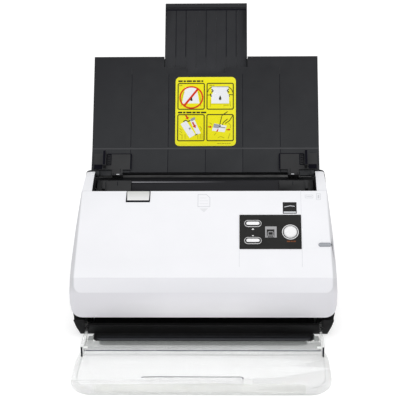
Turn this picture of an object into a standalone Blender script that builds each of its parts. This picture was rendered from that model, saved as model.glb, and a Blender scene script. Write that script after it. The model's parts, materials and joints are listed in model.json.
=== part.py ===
"""Sheet fed document scanner, built from separate named pieces.

All lengths are in metres.  X runs to the scanner's right, Y to the back and Z up.
The layout is written with Y measured from the front face; the root empty then shifts
everything so that the model's origin is on the desk under the middle of its bounding box.
"""

import math

import bmesh
import bpy
from mathutils import Matrix, Vector

MM = 0.001
GAP = 0.3 * MM                      # clearance between neighbouring pieces

# ---- driving dimensions -------------------------------------------------------------
WALL = 2.5 * MM                     # moulded shell thickness
BODY_BACK = 176 * MM                # Y of the rear face
BASE_BOTTOM = 2.5 * MM              # underside of the base tub
BASE_TOP = 26.3 * MM                # where the black base meets the white shell
SHELL_BOTTOM = 26.8 * MM            # lower edge of the white and rear shells
SHOULDER_TOP = 165.5 * MM
SHOULDER_CORNER = (9 * MM, 3.6 * MM)  # width and height of the shoulders' rounded outer corners
SHOULDER_SIDE = 148.9 * MM          # half width where that rounding starts
OPENING_HALF = 137.3 * MM           # half width between the shoulders
# half width of the body at a height, seen from the front
BODY_SIDES = ((0.0, 148.0), (2.5, 148.5), (14.0, 153.5), (27.0, 158.0), (45.0, 158.9), (60.0, 159.0),
              (90.0, 157.6), (120.0, 154.8), (156.0, 150.2), (169.0, 147.4))
COVER_CORNER = 13 * MM              # rounded lower corners of the front cover

FRONT_LOW = (2 * MM, 26.6 * MM)     # front cover outline, from the lower edge to the top edge
FRONT_NOSE = (0.0, 60 * MM)
FRONT_CREASE = (4.5 * MM, 76.7 * MM)
FRONT_TOP = (90.8 * MM, 156 * MM)
PART_LOW = (54 * MM, 26.6 * MM)     # lower end of the parting line at the cover's side
PART_TOP = (93.5 * MM, 155 * MM)

COVER_HINGE = (8.2 * MM, 30 * MM)     # axis of the front cover, (Y, Z)
TRAY_HINGE = (8.5 * MM, 14 * MM)    # axis of the output tray
CHUTE_HINGE = (140 * MM, 162 * MM)  # axis of the paper chute

PATH_END = (12 * MM, 20 * MM)       # lower end of the paper path
PATH_TOP = (143 * MM, 153.5 * MM)   # upper end of the paper path
PATH_HALF = 131 * MM                # half width of the guide frames

CHUTE_HALF = 144 * MM
CHUTE_THICK = 3 * MM
CHUTE_SETBACK = 8 * MM              # the chute's face lies this far behind its hinge axis
CHUTE_LOW_LEAN = math.radians(48)   # lower panel, measured from the horizontal
CHUTE_UP_LEAN = math.radians(56)    # upper panel
CHUTE_FOOT = 6 * MM                 # where the lower panel starts, along the panel
CHUTE_CREASE = 40.4 * MM            # where the lower panel ends
CHUTE_UP_LENGTH = 123 * MM
EXTENSION_HALF = 53.2 * MM
EXTENSION_OUT = 75 * MM             # length that stands out of the chute
LABEL_HALF = 38.7 * MM              # instruction label on the chute
LABEL_FOOT = 1.9 * MM
LABEL_TOP = 94.75 * MM

TRAY_FRONT = -152 * MM
TRAY_BACK = -44 * MM
TRAY_HALF = 146.5 * MM
TRAY_CORNER = (26 * MM, 38 * MM)    # width and depth of the swept front corners
TRAY_REAR_CORNER = (5 * MM, 44 * MM)

GUIDE_INNER = 93 * MM
GUIDE_OUTER = 141 * MM
GUIDE_WALL = 127 * MM
GUIDE_TOP = 31.5 * MM
GUIDE_PINION_RADIUS = 15 * MM

SHAFT_RADIUS = 3 * MM
ROLLER_RADIUS = 8 * MM
FEED_ROLLER_RADIUS = 12 * MM
GEAR_MODULE = 1 * MM
GEAR_LEFT = -144 * MM               # the gear train lies between these two X planes
GEAR_RIGHT = -139 * MM

for old in list(bpy.data.objects):
    bpy.data.objects.remove(old, do_unlink=True)

scene = bpy.context.scene
model_collection = bpy.data.collections.new("document_scanner")
cutter_collection = bpy.data.collections.new("cutters")
scene.collection.children.link(model_collection)
scene.collection.children.link(cutter_collection)


# ---- materials ----------------------------------------------------------------------
def material(name, colour, roughness, metallic=0.0, transmission=0.0):
    made = bpy.data.materials.new(name)
    made.use_nodes = True
    shader = made.node_tree.nodes["Principled BSDF"]
    shader.inputs["Base Color"].default_value = (*colour, 1.0)
    shader.inputs["Roughness"].default_value = roughness
    shader.inputs["Metallic"].default_value = metallic
    shader.inputs["Transmission Weight"].default_value = transmission
    return made


WHITE = material("white_plastic", (0.86, 0.86, 0.88), 0.38)
BLACK = material("black_plastic", (0.022, 0.023, 0.026), 0.5)
GLOSS = material("gloss_black_plastic", (0.012, 0.012, 0.016), 0.18)
PANEL = material("panel_black", (0.02, 0.02, 0.022), 0.3)
SILVER = material("silver_plastic", (0.7, 0.71, 0.72), 0.35)
CLEAR = material("clear_plastic", (0.92, 0.94, 0.94), 0.05, 0.0, 0.95)
YELLOW = material("yellow_label", (0.95, 0.83, 0.02), 0.45)
RUBBER = material("rubber", (0.05, 0.05, 0.055), 0.85)
STEEL = material("steel", (0.55, 0.55, 0.56), 0.32, 1.0)
BRASS = material("bronze_bush", (0.55, 0.4, 0.2), 0.4, 1.0)
GEAR = material("gear_plastic", (0.75, 0.74, 0.7), 0.5)
BOARD = material("circuit_board", (0.02, 0.16, 0.07), 0.5)
GLASS = material("sensor_glass", (0.5, 0.55, 0.55), 0.05)
SMOKED = material("smoked_window", (0.1, 0.11, 0.11), 0.2)


# ---- frames: a point (Y, Z) and a tilt about X --------------------------------------
def tilt(origin, angle):
    """Matrix whose Y axis climbs at the angle and whose Z axis is its front normal."""
    return Matrix.Translation((0, origin[0], origin[1])) @ Matrix.Rotation(angle, 4, "X")


def angle_between(low, high):
    return math.atan2(high[1] - low[1], high[0] - low[0])


LEVEL = Matrix.Identity(4)
PATH = tilt(PATH_END, angle_between(PATH_END, PATH_TOP))
PATH_LENGTH = math.dist(PATH_END, PATH_TOP)
FACE = tilt(FRONT_CREASE, angle_between(FRONT_CREASE, FRONT_TOP))
CHUTE_LOW = tilt(CHUTE_HINGE, CHUTE_LOW_LEAN)
CREASE_POINT = CHUTE_LOW @ Vector((0, CHUTE_CREASE, -CHUTE_SETBACK))
CHUTE_UP = tilt((CREASE_POINT.y, CREASE_POINT.z), CHUTE_UP_LEAN)


def side_point(frame, along, out):
    """(Y, Z) of a point given along a frame's Y axis and out along its Z axis."""
    point = frame @ Vector((0, along, out))
    return (point.y, point.z)


# Y of the bounding box's middle, from the tray's front edge to the extension's back corner
EXTENSION_BACK = 6.4 * MM
MODEL_MIDDLE_Y = (TRAY_FRONT + side_point(CHUTE_UP, CHUTE_UP_LENGTH + EXTENSION_OUT, -EXTENSION_BACK)[0]) / 2


# ---- pivots -------------------------------------------------------------------------
def pivot(name, position, parent=None):
    empty = bpy.data.objects.new(name, None)
    empty.location = position
    model_collection.objects.link(empty)
    if parent is not None:
        empty.parent = parent
        empty.matrix_parent_inverse = Matrix.Translation(-Vector(parent["place"]))
    empty["place"] = tuple(position) if parent is not None else (0.0, 0.0, 0.0)
    return empty


ROOT = pivot("scanner_root", (0, -MODEL_MIDDLE_Y, 0))
COVER = pivot("cover_pivot", (0, *COVER_HINGE), ROOT)
TRAY = pivot("tray_pivot", (0, *TRAY_HINGE), ROOT)
CHUTE = pivot("chute_pivot", (0, *CHUTE_HINGE), ROOT)


# ---- meshes -------------------------------------------------------------------------
def finish_mesh(builder, frame):
    bmesh.ops.recalc_face_normals(builder, faces=builder.faces)
    mesh = bpy.data.meshes.new("shape")
    builder.to_mesh(mesh)
    builder.free()
    mesh.transform(frame)
    return mesh


def block_mesh(boxes, frame=LEVEL):
    """Boxes given as (x0, x1, y0, y1, z0, z1)."""
    builder = bmesh.new()
    for x0, x1, y0, y1, z0, z1 in boxes:
        size = Matrix.Diagonal((x1 - x0, y1 - y0, z1 - z0, 1.0))
        middle = Matrix.Translation(((x0 + x1) / 2, (y0 + y1) / 2, (z0 + z1) / 2))
        bmesh.ops.create_cube(builder, size=1.0, matrix=middle @ size)
    return finish_mesh(builder, frame)


def rod_mesh(rods, frame=LEVEL, segments=24):
    """Cylinders along X given as (x0, x1, y, z, radius)."""
    builder = bmesh.new()
    for x0, x1, y, z, radius in rods:
        turn = Matrix.Translation(((x0 + x1) / 2, y, z)) @ Matrix.Rotation(math.pi / 2, 4, "Y")
        bmesh.ops.create_cone(builder, cap_ends=True, segments=segments, radius1=radius, radius2=radius,
                              depth=x1 - x0, matrix=turn)
    return finish_mesh(builder, frame)


def post_mesh(posts, frame=LEVEL, segments=24):
    """Cylinders along Z given as (x, y, z0, z1, radius)."""
    builder = bmesh.new()
    for x, y, z0, z1, radius in posts:
        bmesh.ops.create_cone(builder, cap_ends=True, segments=segments, radius1=radius, radius2=radius,
                              depth=z1 - z0, matrix=Matrix.Translation((x, y, (z0 + z1) / 2)))
    return finish_mesh(builder, frame)


def outline_mesh(loops, low, high, lie, frame=LEVEL):
    """Extrude flat closed loops (the first is the rim, the rest are holes) from low to high."""
    curve = bpy.data.curves.new("outline", "CURVE")
    curve.dimensions = "2D"
    curve.fill_mode = "BOTH"
    curve.extrude = (high - low) / 2
    for loop in loops:
        spline = curve.splines.new("POLY")
        spline.points.add(len(loop) - 1)
        for point, (a, b) in zip(spline.points, loop):
            point.co = (a, b, 0, 1)
        spline.use_cyclic_u = True
    holder = bpy.data.objects.new("outline", curve)
    cutter_collection.objects.link(holder)
    bpy.context.view_layer.update()
    mesh = bpy.data.meshes.new_from_object(holder.evaluated_get(bpy.context.evaluated_depsgraph_get()))
    bpy.data.objects.remove(holder, do_unlink=True)
    mesh.transform(lie @ Matrix.Translation((0, 0, (low + high) / 2)))
    builder = bmesh.new()
    builder.from_mesh(mesh)
    bmesh.ops.remove_doubles(builder, verts=builder.verts, dist=1e-6)
    return finish_mesh(builder, frame)


# how a flat outline lies before it is extruded
ACROSS = Matrix(((0, 0, 1, 0), (1, 0, 0, 0), (0, 1, 0, 0), (0, 0, 0, 1)))   # (Y, Z), extruded along X
ALONG = Matrix(((1, 0, 0, 0), (0, 0, -1, 0), (0, 1, 0, 0), (0, 0, 0, 1)))   # (X, Z), extruded along -Y
FLAT = LEVEL                                                              # (X, Y), extruded along Z


def side_mesh(loop, x0, x1, holes=()):
    return outline_mesh([loop, *holes], x0, x1, ACROSS)


def circle(a, b, radius, count=24):
    return [(a + radius * math.cos(2 * math.pi * i / count), b + radius * math.sin(2 * math.pi * i / count))
            for i in range(count)]


def rounded(x0, x1, y0, y1, radius, steps=4):
    """Rounded rectangle, anticlockwise."""
    loop = []
    corners = ((x1 - radius, y0 + radius, -90), (x1 - radius, y1 - radius, 0),
               (x0 + radius, y1 - radius, 90), (x0 + radius, y0 + radius, 180))
    for cx, cy, start in corners:
        for i in range(steps + 1):
            turn = math.radians(start + 90 * i / steps)
            loop.append((cx + radius * math.cos(turn), cy + radius * math.sin(turn)))
    return loop


# ---- objects ------------------------------------------------------------------------
def piece(name, mesh, look, parent=ROOT):
    thing = bpy.data.objects.new(name, mesh)
    thing.data.name = name
    thing.data.materials.clear()
    thing.data.materials.append(look)
    model_collection.objects.link(thing)
    place = Vector(parent["place"])
    thing.parent = parent
    thing.location = place
    thing.matrix_parent_inverse = Matrix.Translation(-place)
    mesh.transform(Matrix.Translation(-place))
    return thing


def tool(mesh):
    thing = bpy.data.objects.new("cutter", mesh)
    cutter_collection.objects.link(thing)
    thing.parent = ROOT
    thing.hide_render = True
    thing.display_type = "WIRE"
    return thing


def combine(thing, mesh, operation):
    step = thing.modifiers.new(operation.lower(), "BOOLEAN")
    step.object = tool(mesh)
    step.operation = operation
    step.solver = "EXACT"


def cut(thing, mesh):
    combine(thing, mesh, "DIFFERENCE")


def add(thing, mesh):
    combine(thing, mesh, "UNION")


def keep(thing, mesh):
    combine(thing, mesh, "INTERSECT")


def smooth(thing, degrees=35):
    thing.data.shade_smooth()
    thing.data.set_sharp_from_angle(angle=math.radians(degrees))


def turned(name, profile, look, position, parent=ROOT, closed=False, steps=24, upright=False):
    """A profile of (radius, height), top to bottom, turned about an axis along X, or along Z if upright."""
    mesh = bpy.data.meshes.new(name)
    count = len(profile)
    edges = [(i, i + 1) for i in range(count - 1)]
    if closed:
        edges.append((count - 1, 0))
    mesh.from_pydata([(radius, 0, height) for radius, height in profile], edges, [])
    thing = piece(name, mesh, look, parent)
    mesh.transform(Matrix.Translation(Vector(parent["place"])))
    if upright:
        thing.matrix_basis = Matrix.Translation(position)
    else:
        thing.matrix_basis = Matrix.Translation(position) @ Matrix.Rotation(math.pi / 2, 4, "Y")
    screw = thing.modifiers.new("turn", "SCREW")
    screw.axis = "Z"
    screw.steps = steps
    screw.render_steps = steps
    screw.use_merge_vertices = True
    screw.merge_threshold = 0.00001
    screw.use_smooth_shade = True
    return thing


# ---- body outlines ------------------------------------------------------------------
def body_front_loop(low, high, inset, corner=0.0):
    """Front elevation of the body between two heights, moved in from its sides."""
    def half(z):
        pairs = list(zip(BODY_SIDES, BODY_SIDES[1:]))
        for (z0, w0), (z1, w1) in pairs:
            if z <= z1 * MM or (z1, w1) == BODY_SIDES[-1]:
                return (w0 + (w1 - w0) * (z / MM - z0) / (z1 - z0)) * MM - inset

    right = []
    if corner:
        for i in range(7):
            turn = math.radians(-90 + 15 * i)
            across = half(low) - corner + corner * math.cos(turn)
            right.append((across, low + corner + corner * math.sin(turn)))
    else:
        right.append((half(low), low))
    right += [(half(z * MM), z * MM) for z, _ in BODY_SIDES if low + corner < z * MM - 0.5 * MM < high - MM]
    right.append((half(high), high))
    return right + [(-x, z) for x, z in reversed(right)]


def body_mesh(low, high, inset, y0, y1, corner=0.0):
    return outline_mesh([body_front_loop(low, high, inset, corner)], -y1, -y0, ALONG)


def shoulder_mesh(grow):
    """Space under the shoulders' rounded outer corners, enlarged by a margin."""
    wide, tall = SHOULDER_CORNER
    side, low = SHOULDER_SIDE - wide, SHOULDER_TOP - tall
    right = [(170 * MM, 10 * MM), (170 * MM, low - 4 * MM), (SHOULDER_SIDE + 1.6 * MM + grow, low - 1.9 * MM)]
    for i in range(1, 7):
        turn = math.radians(15 * i)
        right.append((side + (wide + grow) * math.cos(turn), low + (tall + grow) * math.sin(turn)))
    loop = right + [(-x, z) for x, z in reversed(right)]
    return outline_mesh([loop], -190 * MM, -30 * MM, ALONG)


# ---- base ---------------------------------------------------------------------------
FEET = ((-122 * MM, 26 * MM), (122 * MM, 26 * MM), (-122 * MM, 152 * MM), (122 * MM, 152 * MM))
LIP_TOP = 14.8 * MM
LEDGE_HALF = 133 * MM               # low ledge in front of the base, under the clear tray
LEDGE_FRONT = -11.5 * MM
CAVITY_HALF = 142.8 * MM


def make_base():
    outline = [(8 * MM, BASE_BOTTOM), (170 * MM, BASE_BOTTOM), (BODY_BACK, 12 * MM), (BODY_BACK, BASE_TOP),
               (4 * MM, BASE_TOP), (5 * MM, 12 * MM)]
    base = piece("base_tub", side_mesh(outline, -170 * MM, 170 * MM), BLACK)
    keep(base, body_mesh(-5 * MM, 40 * MM, 0, -5 * MM, 200 * MM))
    inside = body_mesh(BASE_BOTTOM + WALL, 45 * MM, 6 * MM, 13.5 * MM, BODY_BACK - WALL)
    cut(base, inside)
    cut(base, block_mesh([(-CAVITY_HALF, CAVITY_HALF, -5 * MM, 20 * MM, LIP_TOP, 40 * MM)]))
    # room for the cover's lower edge to swing, and lugs for its hinge rod
    cut(base, rod_mesh([(-170 * MM, 170 * MM, *COVER_HINGE, 9 * MM)]))
    # each lug reaches the rod from behind, clear of the edge's swing
    hinge_y, hinge_z = COVER_HINGE
    lug = [(hinge_y + 3.7 * MM * math.cos(a), hinge_z + 3.7 * MM * math.sin(a))
           for a in (math.radians(15 * i) for i in range(1, 19))]
    lug += [(hinge_y + 4.2 * MM, hinge_z - 5.6 * MM), (hinge_y + 7 * MM, hinge_z - 14 * MM),
            (hinge_y + 12 * MM, hinge_z - 14 * MM), (hinge_y + 12 * MM, hinge_z - 4 * MM)]
    for side in (-1, 1):
        x0, x1 = sorted((side * 145 * MM, side * 148 * MM))
        add(base, side_mesh(lug, x0, x1))
        x0, x1 = sorted((side * 145.6 * MM, side * 152 * MM))
        add(base, block_mesh([(x0, x1, 14.5 * MM, 19.5 * MM, 14.5 * MM, 22 * MM)]))
    cut(base, rod_mesh([(-149 * MM, 149 * MM, *COVER_HINGE, 2.3 * MM)]))
    cut(base, rod_mesh([(-147 * MM, 147 * MM, *TRAY_HINGE, 2.8 * MM)]))
    for side in (-1, 1):
        x0, x1 = sorted((side * 137.8 * MM, side * CAVITY_HALF))
        cut(base, rod_mesh([(x0, x1, *TRAY_HINGE, 5.2 * MM)]))
        cut(base, block_mesh([(x0, x1, 0, TRAY_HINGE[0], 7.5 * MM, 20 * MM)]))
    ledge = rounded(-LEDGE_HALF, LEDGE_HALF, LEDGE_FRONT, 14 * MM, 12 * MM, 5)
    add(base, outline_mesh([ledge], 0.8 * MM, 2.9 * MM, FLAT))
    cut(base, post_mesh([(x, y, -MM, 10 * MM, 3.3 * MM) for x, y in FEET], segments=16))


def make_feet():
    for i, (x, y) in enumerate(FEET):
        profile = [(0, 4.6 * MM), (3 * MM, 4.6 * MM), (3 * MM, 2.2 * MM),
                   (9 * MM, 2.2 * MM), (8.4 * MM, 0), (0, 0)]
        turned(f"rubber_foot_{i + 1}", profile, RUBBER, (x, y, 0), upright=True, steps=20)


# ---- outer shells -------------------------------------------------------------------
def side_cover_loop():
    def beside(point):
        return (point[0] + 0.6 * MM, point[1])
    low = (PART_LOW[0] + 0.6 * MM, SHELL_BOTTOM)
    return [low, (145.3 * MM, SHELL_BOTTOM), (145.3 * MM, 161 * MM), (144 * MM, 163.6 * MM),
            (140.5 * MM, 165.2 * MM), (134 * MM, SHOULDER_TOP), (122 * MM, 164 * MM), (105 * MM, 159.6 * MM),
            beside((PART_TOP[0], PART_TOP[1] + MM))]


def make_side_covers():
    for side, name in ((-1, "left_side_cover"), (1, "right_side_cover")):
        x0, x1 = sorted((side * OPENING_HALF, side * 170 * MM))
        cover = piece(name, side_mesh(side_cover_loop(), x0, x1), WHITE)
        keep(cover, body_mesh(20 * MM, 168.9 * MM, 0, 40 * MM, 150 * MM))
        keep(cover, shoulder_mesh(0))
        # hollow inside, open towards the mechanism below the shoulder
        hollow = [(40 * MM, 20 * MM), (150 * MM, 20 * MM), (150 * MM, 130 * MM), (142.8 * MM, 146 * MM),
                  (134 * MM, 146 * MM), (105 * MM, 146 * MM), (80 * MM, 146 * MM)]
        inner = side_mesh(hollow, -160 * MM, 160 * MM)
        shape = tool(inner)
        trim = shape.modifiers.new("trim", "BOOLEAN")
        trim.object = tool(body_mesh(10 * MM, 160 * MM, WALL, 30 * MM, 160 * MM))
        trim.operation = "INTERSECT"
        step = cover.modifiers.new("hollow", "BOOLEAN")
        step.object = shape
        step.operation = "DIFFERENCE"
        x0, x1 = sorted((side * 130 * MM, side * 142.5 * MM))
        cut(cover, rod_mesh([(x0, x1, *CHUTE_HINGE, 2.9 * MM)]))


USB = (-66 * MM, -54 * MM, 42 * MM, 53 * MM)          # x0, x1, z0, z1 of the data port
DC = (-96 * MM, -86 * MM, 42 * MM, 52 * MM)
ROCKER = (-126 * MM, -112 * MM, 40 * MM, 54 * MM)
VENT_PITCH = 7                        # spacing of the cooling slots, in millimetres
VENT_COUNT = 8


def make_rear_housing():
    outline = [(145.6 * MM, SHELL_BOTTOM), (BODY_BACK, SHELL_BOTTOM),
               (BODY_BACK, 134 * MM), (175 * MM, 143 * MM),
               (172 * MM, 149 * MM), (166 * MM, 152.2 * MM), (158 * MM, 151.8 * MM), (153 * MM, 148 * MM),
               (149 * MM, 148 * MM), (147.4 * MM, 150 * MM), (147.4 * MM, 163 * MM), (145.6 * MM, 166 * MM)]
    rear = piece("rear_housing", side_mesh(outline, -170 * MM, 170 * MM), BLACK)
    keep(rear, body_mesh(20 * MM, 170 * MM, -0.6 * MM, 140 * MM, 180 * MM))
    keep(rear, shoulder_mesh(0.6 * MM))
    inside = [(140 * MM, 20 * MM), (BODY_BACK - WALL, 20 * MM),
              (BODY_BACK - WALL, 133 * MM), (172.6 * MM, 142 * MM), (170.2 * MM, 147 * MM),
              (165.6 * MM, 149.6 * MM), (159 * MM, 149.2 * MM), (154 * MM, 145.4 * MM),
              (140 * MM, 145.4 * MM)]
    shape = tool(side_mesh(inside, -170 * MM, 170 * MM))
    trim = shape.modifiers.new("trim", "BOOLEAN")
    trim.object = tool(body_mesh(10 * MM, 160 * MM, WALL, 120 * MM, 190 * MM))
    trim.operation = "INTERSECT"
    step = rear.modifiers.new("hollow", "BOOLEAN")
    step.object = shape
    step.operation = "DIFFERENCE"
    cut(rear, block_mesh([(-OPENING_HALF, OPENING_HALF, 140 * MM, 149 * MM, 147.8 * MM, 175 * MM)]))
    for x0, x1, z0, z1 in (USB, DC, ROCKER):
        cut(rear, block_mesh([(x0 - GAP, x1 + GAP, 170 * MM, 180 * MM, z0 - GAP, z1 + GAP)]))
    vent_edges = [(20 + VENT_PITCH * i) * MM for i in range(VENT_COUNT)]
    vents = [(x, x + 3 * MM, 170 * MM, 180 * MM, 70 * MM, 100 * MM) for x in vent_edges]
    cut(rear, block_mesh(vents))


# ---- paper path, behind the paper ---------------------------------------------------
EXIT_S, TRANSPORT_S = 26 * MM, 86 * MM
SHAFT_OFFSET = -(ROLLER_RADIUS + GAP)
FEED_OFFSET = -(FEED_ROLLER_RADIUS + GAP)
GEAR_TEETH = {"feed": 36, "feed_idler": 18, "transport": 36, "path_idler": 24, "exit": 36, "reduction": 30,
              "pinion": 12}


def pitch_radius(key):
    return GEAR_TEETH[key] * GEAR_MODULE / 2


FEED_REACH = pitch_radius("transport") + 2 * pitch_radius("feed_idler") + pitch_radius("feed")
FEED_S = TRANSPORT_S + math.sqrt(FEED_REACH ** 2 - (FEED_OFFSET - SHAFT_OFFSET) ** 2)
FEED_CENTRE = side_point(PATH, FEED_S, FEED_OFFSET)
TRANSPORT_CENTRE = side_point(PATH, TRANSPORT_S, SHAFT_OFFSET)
EXIT_CENTRE = side_point(PATH, EXIT_S, SHAFT_OFFSET)
FEED_IDLER_CENTRE = tuple((a + b) / 2 for a, b in zip(FEED_CENTRE, TRANSPORT_CENTRE))
PATH_IDLER_CENTRE = tuple((a + b) / 2 for a, b in zip(EXIT_CENTRE, TRANSPORT_CENTRE))
REDUCTION_CENTRE = side_point(PATH, TRANSPORT_S,
                              SHAFT_OFFSET - pitch_radius("transport") - pitch_radius("reduction"))
MOTOR_REACH = pitch_radius("reduction") + pitch_radius("pinion")
MOTOR_CENTRE = (REDUCTION_CENTRE[0] + MOTOR_REACH, REDUCTION_CENTRE[1])
SENSOR_HALF = 112 * MM


def make_path_frame():
    sheet = (-PATH_HALF, PATH_HALF, 5 * MM, 167.5 * MM, -3.5 * MM, -MM)
    plate = piece("rear_guide_frame", block_mesh([sheet], PATH), BLACK)
    windows = [(-101 * MM, 101 * MM, EXIT_S - 8 * MM, EXIT_S + 8 * MM, -9 * MM, 2 * MM),
               (-101 * MM, 101 * MM, TRANSPORT_S - 8 * MM, TRANSPORT_S + 8 * MM, -9 * MM, 2 * MM),
               (-SENSOR_HALF - MM, SENSOR_HALF + MM, 60 * MM, 74.5 * MM, -9 * MM, 2 * MM),
               (-24 * MM, 24 * MM, FEED_S - 11.5 * MM, FEED_S + 11.5 * MM, -9 * MM, 2 * MM)]
    cut(plate, block_mesh(windows, PATH))
    throat_half = OPENING_HALF - 0.6 * MM
    strip = (-throat_half, throat_half, 168.5 * MM, PATH_LENGTH, -4 * MM, -MM)
    throat = piece("throat_plate", block_mesh([strip], PATH), GLOSS)
    bevel = throat.modifiers.new("round", "BEVEL")
    bevel.width = 0.8 * MM
    bevel.segments = 2


def make_sensor(key, s0, out0, out1, parent):
    """A contact image sensor bar; the fixed one also has its glass strip as a piece of its own."""
    width = 12 * MM
    bar = [(-SENSOR_HALF, SENSOR_HALF, s0, s0 + width, min(out0, out1), max(out0, out1))]
    piece(f"{key}_image_sensor", block_mesh(bar, PATH), BLACK, parent)
    if parent is not ROOT:
        return
    low, high = out0 + GAP, out0 + 1.3 * MM
    strip = [(-SENSOR_HALF + 2 * MM, SENSOR_HALF - 2 * MM, s0 + MM, s0 + width - MM, low, high)]
    piece(f"{key}_sensor_glass", block_mesh(strip, PATH), GLASS, parent)


def make_side_plates():
    edge = [side_point(PATH, 8 * MM, -2 * MM), side_point(PATH, 165 * MM, -2 * MM), (140 * MM, 128 * MM),
            (140 * MM, 30 * MM), (120 * MM, 8 * MM), (24 * MM, 8 * MM)]
    holes = [circle(*centre, 5.3 * MM) for centre in (TRANSPORT_CENTRE, FEED_CENTRE)]
    holes.append(circle(*EXIT_CENTRE, SHAFT_RADIUS + GAP))
    right = piece("right_side_plate", side_mesh(edge, 134 * MM, 136 * MM, holes), STEEL)
    smooth(right)
    motor_hole = circle(*MOTOR_CENTRE, 4 * MM)
    left = piece("left_side_plate", side_mesh(edge, -136 * MM, -134 * MM, [*holes, motor_hole]), STEEL)
    studs = [(-145 * MM, -135 * MM, *centre, 2 * MM)
             for centre in (FEED_IDLER_CENTRE, PATH_IDLER_CENTRE, REDUCTION_CENTRE)]
    add(left, rod_mesh(studs, segments=16))
    for key, centre in (("transport", TRANSPORT_CENTRE), ("feed", FEED_CENTRE)):
        for side, name in ((-1, "left"), (1, "right")):
            ring = [(5 * MM, 2.2 * MM), (5 * MM, -2.2 * MM), (SHAFT_RADIUS + 0.2 * MM, -2.2 * MM),
                    (SHAFT_RADIUS + 0.2 * MM, 2.2 * MM)]
            turned(f"{key}_bush_{name}", ring, BRASS, (side * 135 * MM, *centre), closed=True, steps=20)


# ---- drive --------------------------------------------------------------------------
def gear_loop(teeth, centre):
    """Toothed rim.  The tips stop just short of the pitch circle so meshing rims never touch."""
    radius = teeth * GEAR_MODULE / 2
    tip, root = radius - 0.2 * MM, radius - 1.6 * MM
    loop = []
    for i in range(teeth):
        for part, reach in ((0.30, root), (0.40, tip), (0.72, tip), (0.82, root)):
            turn = 2 * math.pi * (i + part) / teeth
            loop.append((centre[0] + reach * math.cos(turn), centre[1] + reach * math.sin(turn)))
    return loop


def make_gear(name, key, centre, bore, parent):
    loops = [gear_loop(GEAR_TEETH[key], centre), circle(*centre, bore, 16)]
    return piece(name, outline_mesh(loops, GEAR_LEFT, GEAR_RIGHT, ACROSS), GEAR, parent)


def roller_profile(radius, inner, half, lands, groove):
    """Rubber sleeve with raised lands, closed round its bore, top to bottom on the outside."""
    profile = []
    step = 2 * half / lands
    for i in range(lands):
        top = half - i * step
        profile += [(radius, top), (radius, top - step + groove)]
        if i < lands - 1:
            profile += [(radius - MM, top - step + groove), (radius - MM, top - step)]
    profile[-1] = (radius, -half)
    return profile + [(inner, -half), (inner, half)]


def make_drive():
    sets = (("exit", EXIT_CENTRE, ROLLER_RADIUS, 98 * MM, 4),
            ("transport", TRANSPORT_CENTRE, ROLLER_RADIUS, 98 * MM, 4),
            ("feed", FEED_CENTRE, FEED_ROLLER_RADIUS, 21 * MM, 1))
    for key, centre, radius, half, lands in sets:
        axle = pivot(f"{key}_pivot", (0, *centre), ROOT)
        left, right = -145.5 * MM, 138.5 * MM
        profile = [(0, right), (SHAFT_RADIUS, right), (SHAFT_RADIUS, left), (0, left)]
        turned(f"{key}_shaft", profile, STEEL, (0, *centre), axle, steps=20)
        sleeve = roller_profile(radius, SHAFT_RADIUS + 0.2 * MM, half, lands, 8 * MM)
        turned(f"{key}_roller", sleeve, RUBBER, (0, *centre), axle, closed=True, steps=24)
        make_gear(f"{key}_gear", key, centre, SHAFT_RADIUS + 0.2 * MM, axle)
    for key, centre in (("feed_idler", FEED_IDLER_CENTRE), ("path_idler", PATH_IDLER_CENTRE),
                        ("reduction", REDUCTION_CENTRE)):
        axle = pivot(f"{key}_pivot", (0, *centre), ROOT)
        make_gear(f"{key}_gear", key, centre, 2.3 * MM, axle)
    axle = pivot("motor_pivot", (0, *MOTOR_CENTRE), ROOT)
    # the pinion is pressed on the motor's shaft, and both are one piece here
    pinion = piece("motor_pinion", outline_mesh([gear_loop(GEAR_TEETH["pinion"], MOTOR_CENTRE)],
                                                GEAR_LEFT, GEAR_RIGHT, ACROSS), GEAR, axle)
    add(pinion, rod_mesh([(-145.5 * MM, -110 * MM, *MOTOR_CENTRE, 2 * MM)], segments=16))
    body = [(0, -88 * MM), (6 * MM, -88 * MM), (6 * MM, -91 * MM), (16 * MM, -91 * MM), (17 * MM, -92 * MM),
            (17 * MM, -131 * MM), (16 * MM, -132 * MM), (6 * MM, -132 * MM), (6 * MM, -133.6 * MM),
            (2.4 * MM, -133.6 * MM), (2.4 * MM, -109.6 * MM), (0, -109.6 * MM)]
    turned("drive_motor", body, STEEL, (0, *MOTOR_CENTRE))


# ---- electronics and rear ports -----------------------------------------------------
def make_electronics():
    piece("main_board", block_mesh([(-106 * MM, 60 * MM, 157 * MM, 158.6 * MM, 34 * MM, 112 * MM)]), BOARD)
    x0, x1, z0, z1 = USB
    port = piece("usb_port", block_mesh([(x0, x1, 159 * MM, 175.4 * MM, z0, z1)]), STEEL)
    cut(port, block_mesh([(x0 + MM, x1 - MM, 166 * MM, 180 * MM, z0 + MM, z1 - MM)]))
    x0, x1, z0, z1 = DC
    jack = piece("dc_jack", block_mesh([(x0, x1, 159 * MM, 175.4 * MM, z0, z1)]), BLACK)
    middle = ((x0 + x1) / 2, (z0 + z1) / 2)
    bore = outline_mesh([circle(*middle, 3.6 * MM, 20)], -180 * MM, -164 * MM, ALONG)
    cut(jack, bore)
    x0, x1, z0, z1 = ROCKER
    rocker_pivot = pivot("rocker_pivot", (0, 173 * MM, (z0 + z1) / 2), ROOT)
    low, high, middle = z0 + GAP, z1 - GAP, (z0 + z1) / 2
    face = [(169 * MM, middle - 4 * MM), (175.2 * MM, low + 0.9 * MM),
            (175.4 * MM, middle), (176.6 * MM, high - MM),
            (169 * MM, middle + 4 * MM)]
    piece("power_rocker", side_mesh(face, x0 + GAP, x1 - GAP), BLACK, rocker_pivot)


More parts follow.
